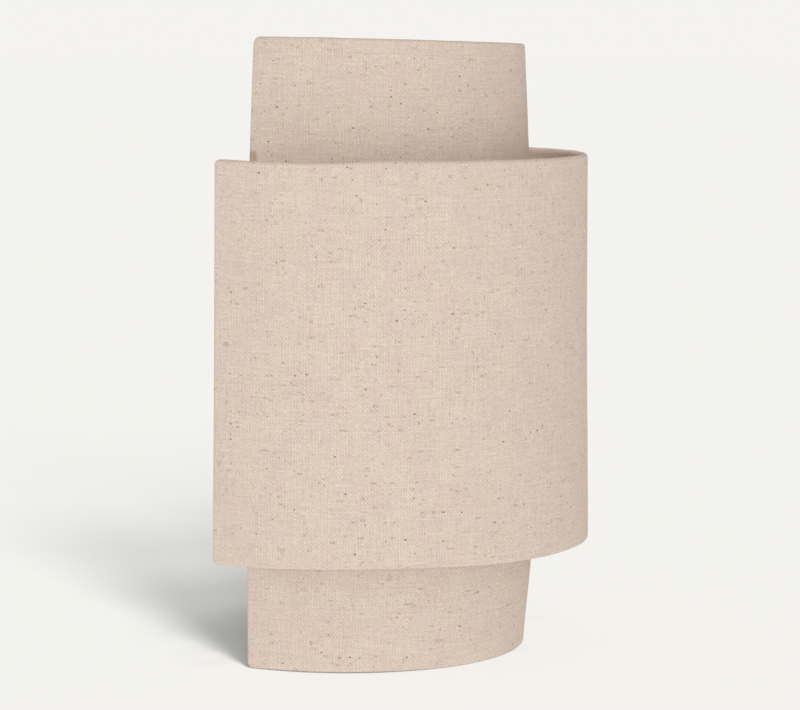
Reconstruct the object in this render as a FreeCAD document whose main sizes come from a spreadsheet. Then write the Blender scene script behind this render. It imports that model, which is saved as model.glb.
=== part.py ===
import FreeCAD, Part
import math
import os
import re
import Sketcher

# Half-round two-tier linen wall light.  X runs to the right along the wall, Y into the wall, Z up.
# The wall is the plane Y = 0, and the origin is at the middle of the wall plate's back face.
SIZES = {
    "inner_waist_radius": 114,  # outside of the inner skin behind the outer tier
    "inner_rim_drop": 2.4,  # how much less the inner skin's radius is at its two rims
    "inner_tall": 380,  # inner tier, rim to rim
    "outer_waist_radius": 150,  # outside of the outer skin at its middle
    "outer_rim_drop": 0.2,  # how much less the outer skin's radius is at its two rims
    "outer_tall": 240,  # outer tier, rim to rim
    "linen": 0.6,  # thickness of the linen
    "liner": 0.4,  # thickness of the stiff liner behind the linen
    "fold_depth": 12,  # how far the linen turns in over a rim wire
    "taper_start": 20,  # distance from the outer rims to where the inner skin starts to taper
    "rim_wire": 3,  # diameter of the rim wires, uprights and back rails
    "rib_wire": 2.5,  # diameter of the ribs and spokes
    "bar_wire": 4,  # diameter of the two hanging bars
    "bar_drop": 20,  # hanging bars and spokes, inside the outer rims by this much
    "side_rib_turn": 45,  # turn of the outer ribs from the middle rib, in degrees
    "seat_gap": 0.05,  # gap between welded or seated pieces
    "running": 0.3,  # clearance between pieces that move past each other
    "wall_gap": 0.3,  # gap between the bound edges and the wall
    "edge_setback": 1,  # distance of the skins' cut edges from the wall plane
    "lift_travel": 12,  # how far the shade lifts to come off its hooks
    "plate_wide": 100,  # wall plate
    "plate_tall": 180,  # wall plate
    "plate_thick": 2,  # wall plate
    "plate_corner": 8,  # corner radius of the wall plate
    "hook_wide": 12,  # width of each hook
    "hook_thick": 1.8,  # thickness of the metal of each hook
    "hook_apart": 76,  # distance between the middles of the two upper hooks
    "lip_clearance": 4,  # lift left over once a bar has cleared its hook's lip
    "wall_slot_apart": 70,  # distance between the wall screw slots
    "wall_slot_wide": 5,  # width of a wall screw slot
    "wall_slot_long": 10,  # length of a wall screw slot, end to end
    "cable_bore": 8,  # bore of the cable bush
    "cable_hole": 14,  # hole in the plate for the cable bush
    "bush_collar": 18,  # diameter of the bush's collar
    "bush_proud": 3,  # height of the bush's collar
    "cable_hole_over": 11,  # middle of the cable hole, above the terminal block
    "lamp_reach": 52,  # lamp axis, out from the wall
    "arm_down": 74,  # top of the bracket's arm, below the origin
    "arm_wide": 18,  # width of the bracket's arm
    "arm_thick": 2,  # thickness of the bracket
    "arm_overhang": 14,  # arm, beyond the lamp axis
    "leg_wide": 32,  # width of the bracket's leg
    "leg_tall": 16,  # height of the bracket's leg
    "leg_screw_apart": 20,  # distance between the two bracket screws
    "screw_shank": 3.5,  # diameter of the machine screws
    "screw_head": 7,  # head diameter of the machine screws
    "screw_head_tall": 2.5,  # head height of the machine screws
    "screw_slot": 0.9,  # width of a screw's driving slot
    "nipple_outer": 9.9,  # threaded nipple, outside
    "nipple_bore": 7.6,  # threaded nipple, bore
    "nipple_below": 10,  # nipple, below the top of the arm
    "nipple_above": 7,  # nipple, above the top of the arm
    "nut_across": 14,  # nipple nut, across its flats
    "nut_thick": 4,  # nipple nut
    "washer_outer": 17,  # toothed washer
    "washer_thick": 1,  # toothed washer
    "washer_teeth": 12,  # teeth on the washer
    "tooth_deep": 1.6,  # depth of the gaps between the teeth
    "tooth_gap": 1.6,  # width of such a gap at its root
    "holder_outer": 41,  # lampholder, outside
    "holder_wall": 2,  # wall of the lampholder's dome
    "dome_tall": 34,  # lampholder's dome
    "dome_round": 8,  # rounding at the dome's bottom
    "dome_boss": 16,  # threaded boss in the dome
    "insert_level": 22,  # bottom of the insert, above the arm
    "insert_thick": 8,  # insert
    "insert_way_out": 8,  # wire passages in the insert, out from the lamp axis
    "sleeve_tall": 30,  # lampholder's sleeve, above the dome
    "sleeve_lip": 1.2,  # bevel at the sleeve's mouth
    "spigot_tall": 4,  # part of the sleeve that enters the dome
    "thread_crest": 26.2,  # lamp cap's thread, outside
    "thread_depth": 0.65,  # depth of the lamp cap's thread
    "thread_pitch": 3.63,  # pitch of the lamp cap's thread
    "thread_turns": 4,  # turns of thread on the cap
    "cap_neck": 6,  # plain neck of the cap, above its thread
    "shell_metal": 0.5,  # metal of the threaded shell
    "tip_level": 40,  # lamp's contact tip, above the arm
    "tip_wide": 9,  # lamp's contact tip
    "tip_tall": 1.5,  # lamp's contact tip
    "tip_bevel": 1,  # bevel round the contact tip
    "insulator_tall": 4,  # lamp's black insulator
    "cap_rim": 1.5,  # cap's plain rim round the top of the insulator
    "cap_metal": 1,  # metal of the lamp's cap
    "housing_foot": 13.4,  # radius of the lamp's housing at the cap
    "housing_tall": 30,  # lamp's housing
    "housing_edge": 3,  # height of the edge round the housing's foot
    "housing_top": 24,  # radius of the lamp's housing at the diffuser
    "diffuser_radius": 30,  # lamp's diffuser, widest
    "diffuser_wall": 1.2,  # lamp's diffuser
    "diffuser_sunk": 18,  # diffuser's widest ring, above the housing
    "block_pitch": 13,  # distance between the terminal block's poles
    "block_wide": 40,  # terminal block
    "block_deep": 16,  # terminal block
    "block_tall": 18,  # terminal block
    "block_edge": 1.2,  # rounding of the block's front
    "clamp_apart": 8,  # distance between the two clamping screws of a pole
    "clamp_sunk": 2,  # clamping screws, below the block's front
    "block_over_arm": 18,  # bottom of the terminal block, above the arm
    "pole_outer": 5.6,  # brass pole
    "pole_bore": 3,  # bore of a brass pole
    "pole_screw": 2.6,  # clamping screw
    "pole_sunk": 2,  # ends of a pole, inside the block
    "cover_wall": 1.2,  # terminal cover
    "cover_room": 3,  # room between the block and its cover
    "cover_over": 22,  # room above the block for the wires from the wall
    "cover_ear": 9,  # width of each ear of the cover
    "cover_ear_tall": 14,  # height of each ear of the cover
    "wire_outer": 2.2,  # insulated wire
    "contact_metal": 0.5,  # contact strips
    "contact_wide": 6,  # width of the contact strips
    "strip_foot": 3,  # centre strip's foot on the insert
    "strip_rise": 3,  # run of the centre strip's slope
    "strip_pad": 3,  # half the centre strip's pad under the tip
    "side_strip_tall": 7,  # strip that feeds the shell
    "side_strip_foot": 5,  # its foot on the insert
    "tag_metal": 0.8,  # earth tag
    "tag_ring": 8,  # earth tag's ring
    "tag_neck": 0.6,  # gap between the tag's ring and the outside of its bend
    "tag_barrel": 4,  # height of the tag's crimped barrel
}

document = FreeCAD.newDocument("WallLight")
sheet = document.addObject("Spreadsheet::Sheet", "Sizes")
for row, (name, millimetres) in enumerate(SIZES.items(), start=1):
    sheet.set("A%d" % row, name)
    sheet.set("B%d" % row, str(millimetres))
    sheet.setAlias("B%d" % row, name)
document.recompute()

nodes = []
UP = (0, 0, 1)
RIGHT = (1, 0, 0)
BACK = (0, 1, 0)


# ---- helpers ------------------------------------------------------------------------------

def bound(text):
    """The expression with each size's name pointing at its cell."""
    return re.sub(r"[a-z_]+", lambda word: "Sizes." + word[0] if word[0] in SIZES else word[0], str(text))


def number(text):
    """The present value of an expression."""
    return float(sheet.evalExpression(bound(text)))


def bind(thing, **sizes):
    """Tie properties of an object to expressions."""
    for prop, text in sizes.items():
        thing.setExpression(prop, bound(text))
    return thing


def place(thing, x=0, y=0, z=0, turns=()):
    """Put an object at a point, after turns given as (axis, degrees), the last one first."""
    rotation = " * ".join("rotation(vector(%g; %g; %g); %s)" % (*axis, angle) for axis, angle in turns)
    rotation = rotation or "rotation(vector(0; 0; 1); 0)"
    return bind(thing, Placement="placement(vector(%s; %s; %s); %s)" % (x, y, z, rotation))


def keep(name, thing):
    """Name the object as a node that is written out."""
    thing.Label = name
    nodes.append(thing)
    return thing


def cylinder(name, radius, height, x=0, y=0, z=0, turns=()):
    return place(bind(document.addObject("Part::Cylinder", name), Radius=radius, Height=height), x, y, z, turns)


def box(name, wide, deep, tall, x=0, y=0, z=0):
    """A box from its left, front, bottom corner."""
    return place(bind(document.addObject("Part::Box", name), Length=wide, Width=deep, Height=tall), x, y, z)


def arc_wire(name, ring_radius, wire, angle, z):
    """A round wire bent about the Z axis, with its middle in front of the wall."""
    ring = bind(document.addObject("Part::Torus", name), Radius1=ring_radius, Radius2="(%s)/2" % wire, Angle3=angle)
    return place(ring, z=z, turns=[(UP, "-90 - (%s)/2" % angle)])


def together(name, *things):
    """Separate solids in one node."""
    group = document.addObject("Part::Compound", name)
    group.Links = list(things)
    return group


def fused(name, *things):
    group = document.addObject("Part::MultiFuse", name)
    group.Shapes = list(things)
    return group


def without(name, base, *tools):
    cut = document.addObject("Part::Cut", name)
    cut.Base = base
    cut.Tool = tools[0] if len(tools) == 1 else fused(name + "_tools", *tools)
    return cut


def new_body(name):
    body = document.addObject("PartDesign::Body", name)
    body.Label = name
    return body


def new_sketch(body, plane, offset=None):
    sketch = body.newObject("Sketcher::SketchObject", body.Name + "_sketch")
    origin = [item for item in body.Origin.OriginFeatures if item.Role == plane + "_Plane"][0]
    sketch.AttachmentSupport = [(origin, "")]
    sketch.MapMode = "FlatFace"
    if offset is not None:
        sketch.setExpression("AttachmentOffset.Base.z", bound(offset))
    return sketch


def pin_point(sketch, geometry, end, across, upward):
    """Hold one sketch point at a pair of expressions."""
    for kind, text in (("DistanceX", across), ("DistanceY", upward)):
        index = sketch.addConstraint(Sketcher.Constraint(kind, -1, 1, geometry, end, number(text)))
        sketch.setExpression("Constraints[%d]" % index, bound(text))


def outline(body, plane, corners, offset=None):
    """A closed sketch with straight sides through corners given as pairs of expressions."""
    sketch = new_sketch(body, plane, offset)
    points = [FreeCAD.Vector(number(across), number(upward), 0) for across, upward in corners]
    count = len(points)
    for index, point in enumerate(points):
        sketch.addGeometry(Part.LineSegment(point, points[(index + 1) % count]))
    for index in range(count):
        sketch.addConstraint(Sketcher.Constraint("Coincident", index, 2, (index + 1) % count, 1))
        pin_point(sketch, index, 1, *corners[index])
    return sketch


def circles(body, plane, rounds, offset=None):
    """A sketch of circles given as (across, upward, radius) expressions."""
    sketch = new_sketch(body, plane, offset)
    for index, (across, upward, radius) in enumerate(rounds):
        middle = FreeCAD.Vector(number(across), number(upward), 0)
        sketch.addGeometry(Part.Circle(middle, FreeCAD.Vector(*UP), number(radius)))
        pin_point(sketch, index, 3, across, upward)
        held = sketch.addConstraint(Sketcher.Constraint("Radius", index, number(radius)))
        sketch.setExpression("Constraints[%d]" % held, bound(radius))
    return sketch


def pad(body, sketch, length, both_ways=False):
    feature = body.newObject("PartDesign::Pad", body.Name + "_pad")
    feature.Profile = sketch
    feature.Midplane = both_ways
    return bind(feature, Length=length)


def pocket_through(body, sketch):
    """Cut through the whole body, both ways, and make sure that material went."""
    document.recompute()
    before = body.Shape.Volume
    feature = body.newObject("PartDesign::Pocket", body.Name + "_pocket")
    feature.Profile = sketch
    feature.Type = "ThroughAll"
    feature.Midplane = True
    document.recompute()
    if body.Shape.Volume >= before:
        raise ValueError("a pocket cut nothing in " + body.Label)
    return feature


def turned(body, sketch, angle=360):
    feature = body.newObject("PartDesign::Revolution", body.Name + "_turning")
    feature.Profile = sketch
    feature.ReferenceAxis = (sketch, ["V_Axis"])
    feature.Midplane = True
    return bind(feature, Angle=angle)


def round_edges(body, radius, wanted):
    """Fillet the edges for which wanted(middle of the edge, edge) holds."""
    document.recompute()
    tip = body.Tip
    chosen = ["Edge%d" % (index + 1) for index, edge in enumerate(tip.Shape.Edges)
              if wanted(edge.BoundBox.Center, edge)]
    feature = body.newObject("PartDesign::Fillet", body.Name + "_fillet")
    feature.Base = (tip, chosen)
    return bind(feature, Radius=radius)


def lathe(name, profile):
    """A round piece on the lamp axis, from (radius, height above the arm) expressions."""
    body = new_body(name)
    turned(body, outline(body, "XZ", [(r, "%s - arm_down" % up) for r, up in profile]))
    return place(body, y="-lamp_reach")


def front(points):
    """Profile points for the plane through the Z axis and the light's front."""
    return [("-(%s)" % r, up) for r, up in points]


def is_close(first, second):
    return abs(first - second) < 0.01


# ---- places worked out from the sizes ------------------------------------------------------

def tier_places(tier):
    """Expressions for one tier's half height, rim wire and fold."""
    rim = "(%s_waist_radius - %s_rim_drop)" % (tier, tier)
    half = "(%s_tall/2)" % tier
    ring = "(%s - linen - liner - rim_wire/2 - seat_gap)" % rim
    fold = "(%s - rim_wire/2 - seat_gap - linen)" % ring
    ring_up = "(%s - linen - rim_wire/2 - seat_gap)" % half
    return {"rim": rim, "waist": tier + "_waist_radius", "half": half, "ring": ring, "fold": fold,
            "ring_up": ring_up}


INNER = tier_places("inner")
OUTER = tier_places("outer")
TAPER_UP = "(outer_tall/2 - taper_start)"
BAR_UP = "(outer_tall/2 - bar_drop)"
EDGE_FRONT = "(wall_gap + linen)"
UPRIGHT_OUT = "(%s + seat_gap + rim_wire/2)" % EDGE_FRONT
BAR_OUT = "(%s + rim_wire/2 + seat_gap + bar_wire/2)" % UPRIGHT_OUT
CAP_UP = "(tip_level + tip_tall + insulator_tall - cap_rim)"


# ---- shade ---------------------------------------------------------------------------------

def skin_angle(radius):
    """The sweep of a skin whose cut edges stand back from the wall plane."""
    return "(180 - 2*asin(edge_setback/%s)/1deg)" % radius


def skin(name, tier):
    """The linen of a tier, folded in over both rim wires."""
    rim, waist, half, fold = tier["rim"], tier["waist"], tier["half"], tier["fold"]
    upper = [(waist, TAPER_UP), (rim, half), (fold, half), (fold, half + " - fold_depth"),
             (fold + " + linen", half + " - fold_depth"), (fold + " + linen", half + " - linen"),
             (rim + " - linen", half + " - linen"), (waist + " - linen", TAPER_UP)]
    lower = [(r, "-(%s)" % up) for r, up in reversed(upper)]
    body = new_body(name)
    turned(body, outline(body, "YZ", front(upper + lower)), skin_angle(waist))
    return body


def backing(name, tier):
    """The stiff liner glued behind the linen."""
    rim, waist, half = tier["rim"], tier["waist"], tier["half"]
    upper = [(waist + " - linen", TAPER_UP), (rim + " - linen", half + " - linen"),
             (rim + " - linen - liner", half + " - linen"), (waist + " - linen - liner", TAPER_UP)]
    lower = [(r, "-(%s)" % up) for r, up in reversed(upper)]
    body = new_body(name)
    turned(body, outline(body, "YZ", front(upper + lower)), skin_angle(waist))
    return body


def side_hem(name, tier, side):
    """The linen strip that binds one straight edge, over its upright wire."""
    rim, waist, half, fold = tier["rim"], tier["waist"], tier["half"], tier["fold"]
    body = new_body(name)
    corners = [(fold, half), (rim, half), (waist, TAPER_UP), (waist, "-" + TAPER_UP), (rim, "-" + half),
               (fold, "-" + half)]
    strip = [("%d*(%s)" % (side, across), up) for across, up in corners]
    pad(body, outline(body, "XZ", strip, "wall_gap"), "linen")
    end = "(%s - fold_depth - seat_gap)" % half
    leg = [(fold, end), (fold + " + linen", end), (fold + " + linen", "-" + end), (fold, "-" + end)]
    leg = [("%d*(%s)" % (side, across), up) for across, up in leg]
    pad(body, outline(body, "XZ", leg, EDGE_FRONT), "rim_wire")
    return body


def uprights(name, tier):
    """The two upright wires at the wall."""
    tall = "(%s - linen - seat_gap)" % tier["half"]
    pair = [cylinder("%s_%d" % (name, index), "rim_wire/2", "2*" + tall, x="%d*%s" % (side, tier["ring"]),
                     y="-" + UPRIGHT_OUT, z="-" + tall) for index, side in enumerate((-1, 1))]
    return together(name, *pair)


def rim_wire(name, tier, side):
    """A rim wire that ends against the fronts of the uprights."""
    angle = "(180 - 2*asin((%s + rim_wire/2 + seat_gap)/%s)/1deg)" % (UPRIGHT_OUT, tier["ring"])
    return arc_wire(name, tier["ring"], "rim_wire", angle, "%d*%s" % (side, tier["ring_up"]))


def rib_turns():
    """The ribs' turns about the Z axis, from +X."""
    return ["(-90 - side_rib_turn)", "-90", "(-90 + side_rib_turn)"]


def ribs(name, tier):
    tall = "(%s - rim_wire/2 - seat_gap)" % tier["ring_up"]
    rods = [cylinder("%s_%d" % (name, index), "rib_wire/2", "2*" + tall,
                     x="%s*cos(%s*1deg)" % (tier["ring"], turn), y="%s*sin(%s*1deg)" % (tier["ring"], turn),
                     z="-" + tall) for index, turn in enumerate(rib_turns())]
    return together(name, *rods)


def spokes(name, extra="0"):
    """Six radial wires from the inner ribs to the outer ribs; extra widens them into passages."""
    start = "(%s + rib_wire/2 + seat_gap)" % INNER["ring"]
    length = "(%s - rib_wire/2 - seat_gap - %s)" % (OUTER["ring"], start)
    rods = [cylinder("%s_%d_%d" % (name, index, side + 1), "rib_wire/2 + " + extra, length,
                     x="%s*cos(%s*1deg)" % (start, turn), y="%s*sin(%s*1deg)" % (start, turn),
                     z="%d*%s" % (side, BAR_UP), turns=[(UP, turn), (BACK, "90")])
            for index, turn in enumerate(rib_turns()) for side in (-1, 1)]
    return rods


def bars(name, extra="0"):
    """The two bars across the back, from one outer upright to the other."""
    half = "(%s + rim_wire/4)" % OUTER["ring"]
    return [cylinder("%s_%d" % (name, side + 1), "bar_wire/2 + " + extra, "2*" + half, x="-" + half,
                     y="-" + BAR_OUT, z="%d*%s" % (side, BAR_UP), turns=[(BACK, "90")]) for side in (-1, 1)]


def rails(name, extra="0"):
    """The two rails that close the inner frame at the wall."""
    half = "(%s - rim_wire/2 - seat_gap)" % INNER["ring"]
    return [cylinder("%s_%d" % (name, side + 1), "rim_wire/2 + " + extra, "2*" + half, x="-" + half,
                     y="-" + UPRIGHT_OUT, z="%d*%s" % (side, INNER["ring_up"]), turns=[(BACK, "90")])
            for side in (-1, 1)]


def shade():
    passages = spokes("spoke_way", "running") + bars("bar_way", "running") + rails("rail_way", "seat_gap")
    way = fused("ways", *passages)
    keep("inner_linen", without("inner_linen", skin("inner_skin_whole", INNER), way))
    keep("inner_liner", without("inner_liner", backing("inner_liner_whole", INNER), way))
    keep("outer_linen", skin("outer_linen", OUTER))
    keep("outer_liner", backing("outer_liner", OUTER))
    for word, tier in (("inner", INNER), ("outer", OUTER)):
        hems = [side_hem("%s_hem_%d" % (word, index), tier, side) for index, side in enumerate((-1, 1))]
        keep(word + "_side_hems", together(word + "_side_hems", *hems))
        keep(word + "_side_wires", uprights(word + "_side_wires", tier))
        keep(word + "_top_ring", rim_wire(word + "_top_ring", tier, 1))
        keep(word + "_bottom_ring", rim_wire(word + "_bottom_ring", tier, -1))
        keep(word + "_ribs", ribs(word + "_ribs", tier))
    keep("inner_back_rails", together("inner_back_rails", *rails("rail")))
    keep("tier_spokes", together("tier_spokes", *spokes("spoke")))
    keep("hanging_bars", together("hanging_bars", *bars("bar")))


# ---- wall plate and what is screwed to it ---------------------------------------------------

def wall_plate():
    """Flat plate with four hooks, slots for two wall screws, a cable hole and screw holes."""
    body = new_body("wall_plate")
    wide, tall = "plate_wide/2", "plate_tall/2"
    corners = [("-" + wide, "-" + tall), (wide, "-" + tall), (wide, tall), ("-" + wide, tall)]
    pad(body, outline(body, "XZ", corners), "plate_thick")
    round_edges(body, "plate_corner", lambda middle, edge: is_close(edge.Length, number("plate_thick"))
                and not is_close(edge.BoundBox.YLength, 0))
    floor_top = "(bar_wire/2 + running)"
    lip_back = "(%s + bar_wire/2 + running)" % BAR_OUT
    lip_front = "(%s + hook_thick)" % lip_back
    hooks = []
    for side, root in ((1, "plate_tall/2"), (-1, "-plate_tall/2")):
        bar = "%d*%s" % (side, BAR_UP)
        floor, under = "%s - %s" % (bar, floor_top), "%s - %s - hook_thick" % (bar, floor_top)
        lip_top = "%s + lift_travel - bar_wire/2 - lip_clearance" % bar
        if side > 0:
            shape = [("0", root + " - 1"), ("0", floor), ("-" + lip_back, floor), ("-" + lip_back, lip_top),
                     ("-" + lip_front, lip_top), ("-" + lip_front, under), ("-plate_thick", under),
                     ("-plate_thick", root + " - 1")]
        else:
            shape = [("0", root + " + 1"), ("0", under), ("-" + lip_front, under), ("-" + lip_front, lip_top),
                     ("-" + lip_back, lip_top), ("-" + lip_back, floor), ("-plate_thick", floor),
                     ("-plate_thick", root + " + 1")]
        hooks.append(pad(body, outline(body, "YZ", shape, "hook_apart/2"), "hook_wide", both_ways=True))
    mirror = body.newObject("PartDesign::Mirrored", "hook_mirror")
    mirror.Originals = hooks
    mirror.MirrorPlane = ([item for item in body.Origin.OriginFeatures if item.Role == "YZ_Plane"][0], [""])
    body.Tip = mirror
    slot_end = "(wall_slot_long - wall_slot_wide)/2"
    ends = [("%d*wall_slot_apart/2 + %d*%s" % (side, end, slot_end), "0", "wall_slot_wide/2")
            for side in (-1, 1) for end in (-1, 1)]
    screws = [("%d*leg_screw_apart/2" % side, LEG_SCREW_UP, "screw_shank/2 + seat_gap") for side in (-1, 0, 1)]
    screws += [("%d*block_pitch/2" % side, BLOCK_SCREW_UP, "screw_shank/2 + seat_gap") for side in (-1, 1)]
    screws += [("%d*%s" % (side, EAR_SCREW_ACROSS), EAR_SCREW_UP, "screw_shank/2 + seat_gap") for side in (-1, 1)]
    pocket_through(body, circles(body, "XZ", ends[0::2] + screws + [("0", CABLE_UP, "cable_hole/2")]))
    pocket_through(body, circles(body, "XZ", ends[1::2]))
    for side in (-1, 1):
        middle = "%d*wall_slot_apart/2" % side
        corners = [("%s %s %s" % (middle, sign, slot_end), up) for sign, up in
                   (("-", "-wall_slot_wide/2"), ("+", "-wall_slot_wide/2"), ("+", "wall_slot_wide/2"),
                    ("-", "wall_slot_wide/2"))]
        pocket_through(body, outline(body, "XZ", corners))
    return keep("wall_plate", body)


LEG_SCREW_UP = "(-arm_down + leg_tall/2 - 2)"
BLOCK_LOW = "(-arm_down + block_over_arm)"
BLOCK_SCREW_UP = "(%s + block_tall/2)" % BLOCK_LOW
BLOCK_TOP = "(%s + block_tall)" % BLOCK_LOW
CABLE_UP = "(%s + cable_hole_over)" % BLOCK_TOP
COVER_SIDE = "(block_wide/2 + cover_room)"
COVER_DEEP = "(block_deep + cover_room)"
COVER_TOP = "(%s + cover_over)" % BLOCK_TOP
EAR_SCREW_ACROSS = "(%s + cover_wall + cover_ear/2)" % COVER_SIDE
EAR_SCREW_UP = "(%s - cover_over/2)" % COVER_TOP
POLE_OUT = "(plate_thick + block_deep/2)"


def screw(name, across, seat_out, upward):
    """A slotted machine screw along Y, its head in front of the seat and its end inside the plate."""
    head = cylinder(name + "_head", "screw_head/2", "screw_head_tall", x=across, y="-(%s + seat_gap)" % seat_out,
                    z=upward, turns=[(RIGHT, "90")])
    shank = cylinder(name + "_shank", "screw_shank/2", "%s + seat_gap - wall_gap" % seat_out, x=across,
                     y="-wall_gap", z=upward, turns=[(RIGHT, "90")])
    slot = box(name + "_slot", "screw_head + 2", "screw_head_tall", "screw_slot",
               x="%s - screw_head/2 - 1" % across, y="-(%s + seat_gap + 1.5*screw_head_tall)" % seat_out,
               z="%s - screw_slot/2" % upward)
    return without(name, fused(name + "_blank", head, shank), slot)


def cable_grommet():
    """Soft bush, flush with the plate's back."""
    barrel = cylinder("bush_barrel", "cable_hole/2 - seat_gap", "plate_thick + seat_gap", turns=[(RIGHT, "90")])
    collar = cylinder("bush_collar_disc", "bush_collar/2", "bush_proud", y="-(plate_thick + seat_gap)",
                      turns=[(RIGHT, "90")])
    bore = cylinder("bush_way", "cable_bore/2", "plate_thick + bush_proud + 2", y="1", turns=[(RIGHT, "90")])
    bush = without("cable_grommet", fused("bush_blank", barrel, collar), bore)
    return keep("cable_grommet", place(bush, z=CABLE_UP))


def terminal_block():
    """Three brass poles in a moulded block, with two clamping screws each."""
    body = new_body("block_blank")
    side = "block_wide/2"
    corners = [("-" + side, BLOCK_LOW), (side, BLOCK_LOW), (side, BLOCK_TOP), ("-" + side, BLOCK_TOP)]
    pad(body, outline(body, "XZ", corners, "plate_thick + seat_gap"), "block_deep")
    round_edges(body, "block_edge", lambda middle, edge: is_close(middle.y, -number("plate_thick + seat_gap + block_deep")))
    ways, poles, clamps = [], [], []
    for index in (-1, 0, 1):
        x = "%d*block_pitch" % index
        word = "pole_%d" % (index + 1)
        ways.append(cylinder(word + "_bed", "pole_outer/2 + seat_gap", "block_tall + 2", x=x, y="-" + POLE_OUT,
                             z=BLOCK_LOW + " - 1"))
        rod = cylinder(word + "_rod", "pole_outer/2", "block_tall - 2*pole_sunk", x=x, y="-" + POLE_OUT,
                       z=BLOCK_LOW + " + pole_sunk")
        bore = cylinder(word + "_bore", "pole_bore/2", "block_tall", x=x, y="-" + POLE_OUT, z=BLOCK_LOW)
        holes = [bore]
        for end in (-1, 1):
            up = "%s + %d*clamp_apart/2" % (BLOCK_SCREW_UP, end)
            low_end = "-(%s + pole_bore/2 + seat_gap)" % POLE_OUT
            ways.append(cylinder("%s_well_%d" % (word, end + 1), "pole_screw/2 + 3*seat_gap", "block_deep/2 + 1", x=x,
                                 y="-" + POLE_OUT, z=up, turns=[(RIGHT, "90")]))
            holes.append(cylinder("%s_tap_%d" % (word, end + 1), "pole_screw/2 + seat_gap", "pole_outer", x=x,
                                  y="-" + POLE_OUT, z=up, turns=[(RIGHT, "90")]))
            stem = cylinder("%s_stem_%d" % (word, end + 1), "pole_screw/2", "block_deep/2 - pole_bore/2 - clamp_sunk",
                            x=x, y=low_end, z=up, turns=[(RIGHT, "90")])
            drive = box("%s_drive_%d" % (word, end + 1), "2*pole_screw", "screw_slot", "screw_slot/2",
                        x="%s - pole_screw" % x, y="-(%s + block_deep/2 - clamp_sunk + seat_gap)" % POLE_OUT,
                        z="%s - screw_slot/4" % up)
            clamps.append(without("%s_clamp_%d" % (word, end + 1), stem, drive))
        poles.append(without(word, rod, *holes))
    for index in (-1, 1):
        x = "%d*block_pitch/2" % index
        ways.append(cylinder("block_screw_way_%d" % index, "screw_shank/2 + seat_gap", "block_deep + 2", x=x,
                             y="-(plate_thick - 1)", z=BLOCK_SCREW_UP, turns=[(RIGHT, "90")]))
        ways.append(cylinder("block_head_way_%d" % index, "screw_head/2 + 4*seat_gap", "block_deep", x=x,
                             y="-(plate_thick + block_deep/2)", z=BLOCK_SCREW_UP, turns=[(RIGHT, "90")]))
    keep("terminal_block", without("terminal_block", body, *ways))
    keep("terminal_poles", together("terminal_poles", *poles))
    keep("terminal_screws", together("terminal_screws", *clamps))


def terminal_cover():
    """Cap over the block, open below for the wires, with an ear at each side."""
    side = COVER_SIDE + " + cover_wall"
    tall = "%s - %s + cover_room" % (COVER_TOP, BLOCK_LOW)
    low = BLOCK_LOW + " - cover_room"
    out = "plate_thick + seat_gap"
    outside = box("cover_outside", "2*(%s)" % side, "%s + cover_wall - seat_gap" % COVER_DEEP, tall + " + cover_wall",
                  x="-(%s)" % side, y="-(plate_thick + %s + cover_wall)" % COVER_DEEP, z=low)
    inside = box("cover_inside", "2*" + COVER_SIDE, COVER_DEEP, tall + " + 1", x="-" + COVER_SIDE,
                 y="-(plate_thick + %s)" % COVER_DEEP, z=low + " - 1")
    ears = box("cover_ears", "2*(%s + cover_ear)" % side, "cover_wall", "cover_ear_tall",
               x="-(%s + cover_ear)" % side, y="-(%s + cover_wall)" % out, z="%s - cover_ear_tall/2" % EAR_SCREW_UP)
    holes = [cylinder("ear_hole_%d" % index, "screw_shank/2 + seat_gap", "cover_wall + 4",
                      x="%d*%s" % (index, EAR_SCREW_ACROSS), y="-plate_thick + 1", z=EAR_SCREW_UP,
                      turns=[(RIGHT, "90")]) for index in (-1, 1)]
    keep("terminal_cover", without("terminal_cover", fused("cover_blank", outside, ears), inside, *holes))
    fixings = [screw("cover_screw_%d" % index, "%d*%s" % (index, EAR_SCREW_ACROSS), out + " + cover_wall",
                     EAR_SCREW_UP) for index in (-1, 1)]
    keep("cover_screws", together("cover_screws", *fixings))


def lamp_bracket():
    """Bent strip: a leg on the plate and an arm that carries the lampholder."""
    body = new_body("lamp_bracket")
    start = "(plate_thick + seat_gap)"
    side, low, top = "leg_wide/2", "(-arm_down - arm_thick)", "(-arm_down + leg_tall - arm_thick)"
    leg = [("-" + side, low), (side, low), (side, top), ("-" + side, top)]
    pad(body, outline(body, "XZ", leg, start), "arm_thick")
    end = "(lamp_reach + arm_overhang)"
    arm = [("-" + start, low), ("-" + end, low), ("-" + end, "-arm_down"), ("-" + start, "-arm_down")]
    pad(body, outline(body, "YZ", arm), "arm_wide", both_ways=True)
    round_edges(body, "arm_wide/2 - 1", lambda middle, edge: is_close(middle.y, -number(end))
                and is_close(edge.BoundBox.XLength, 0))
    round_edges(body, "arm_thick", lambda middle, edge: is_close(middle.z, -number("arm_down"))
                and is_close(middle.y, -number(start + " + arm_thick")))
    pocket_through(body, circles(body, "XY", [("0", "-lamp_reach", "nipple_outer/2 + 3*seat_gap")]))
    holes = [("%d*leg_screw_apart/2" % index, LEG_SCREW_UP, "screw_shank/2 + seat_gap") for index in (-1, 0, 1)]
    pocket_through(body, circles(body, "XZ", holes))
    keep("lamp_bracket", body)
    seat = start + " + arm_thick"
    pair = [screw("bracket_screw_%d" % index, "%d*leg_screw_apart/2" % index, seat, LEG_SCREW_UP)
            for index in (-1, 1)]
    keep("bracket_screws", together("bracket_screws", *pair))
    keep("earth_screw", screw("earth_screw", "0", seat + " + seat_gap + tag_metal", LEG_SCREW_UP))
    return seat


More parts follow.
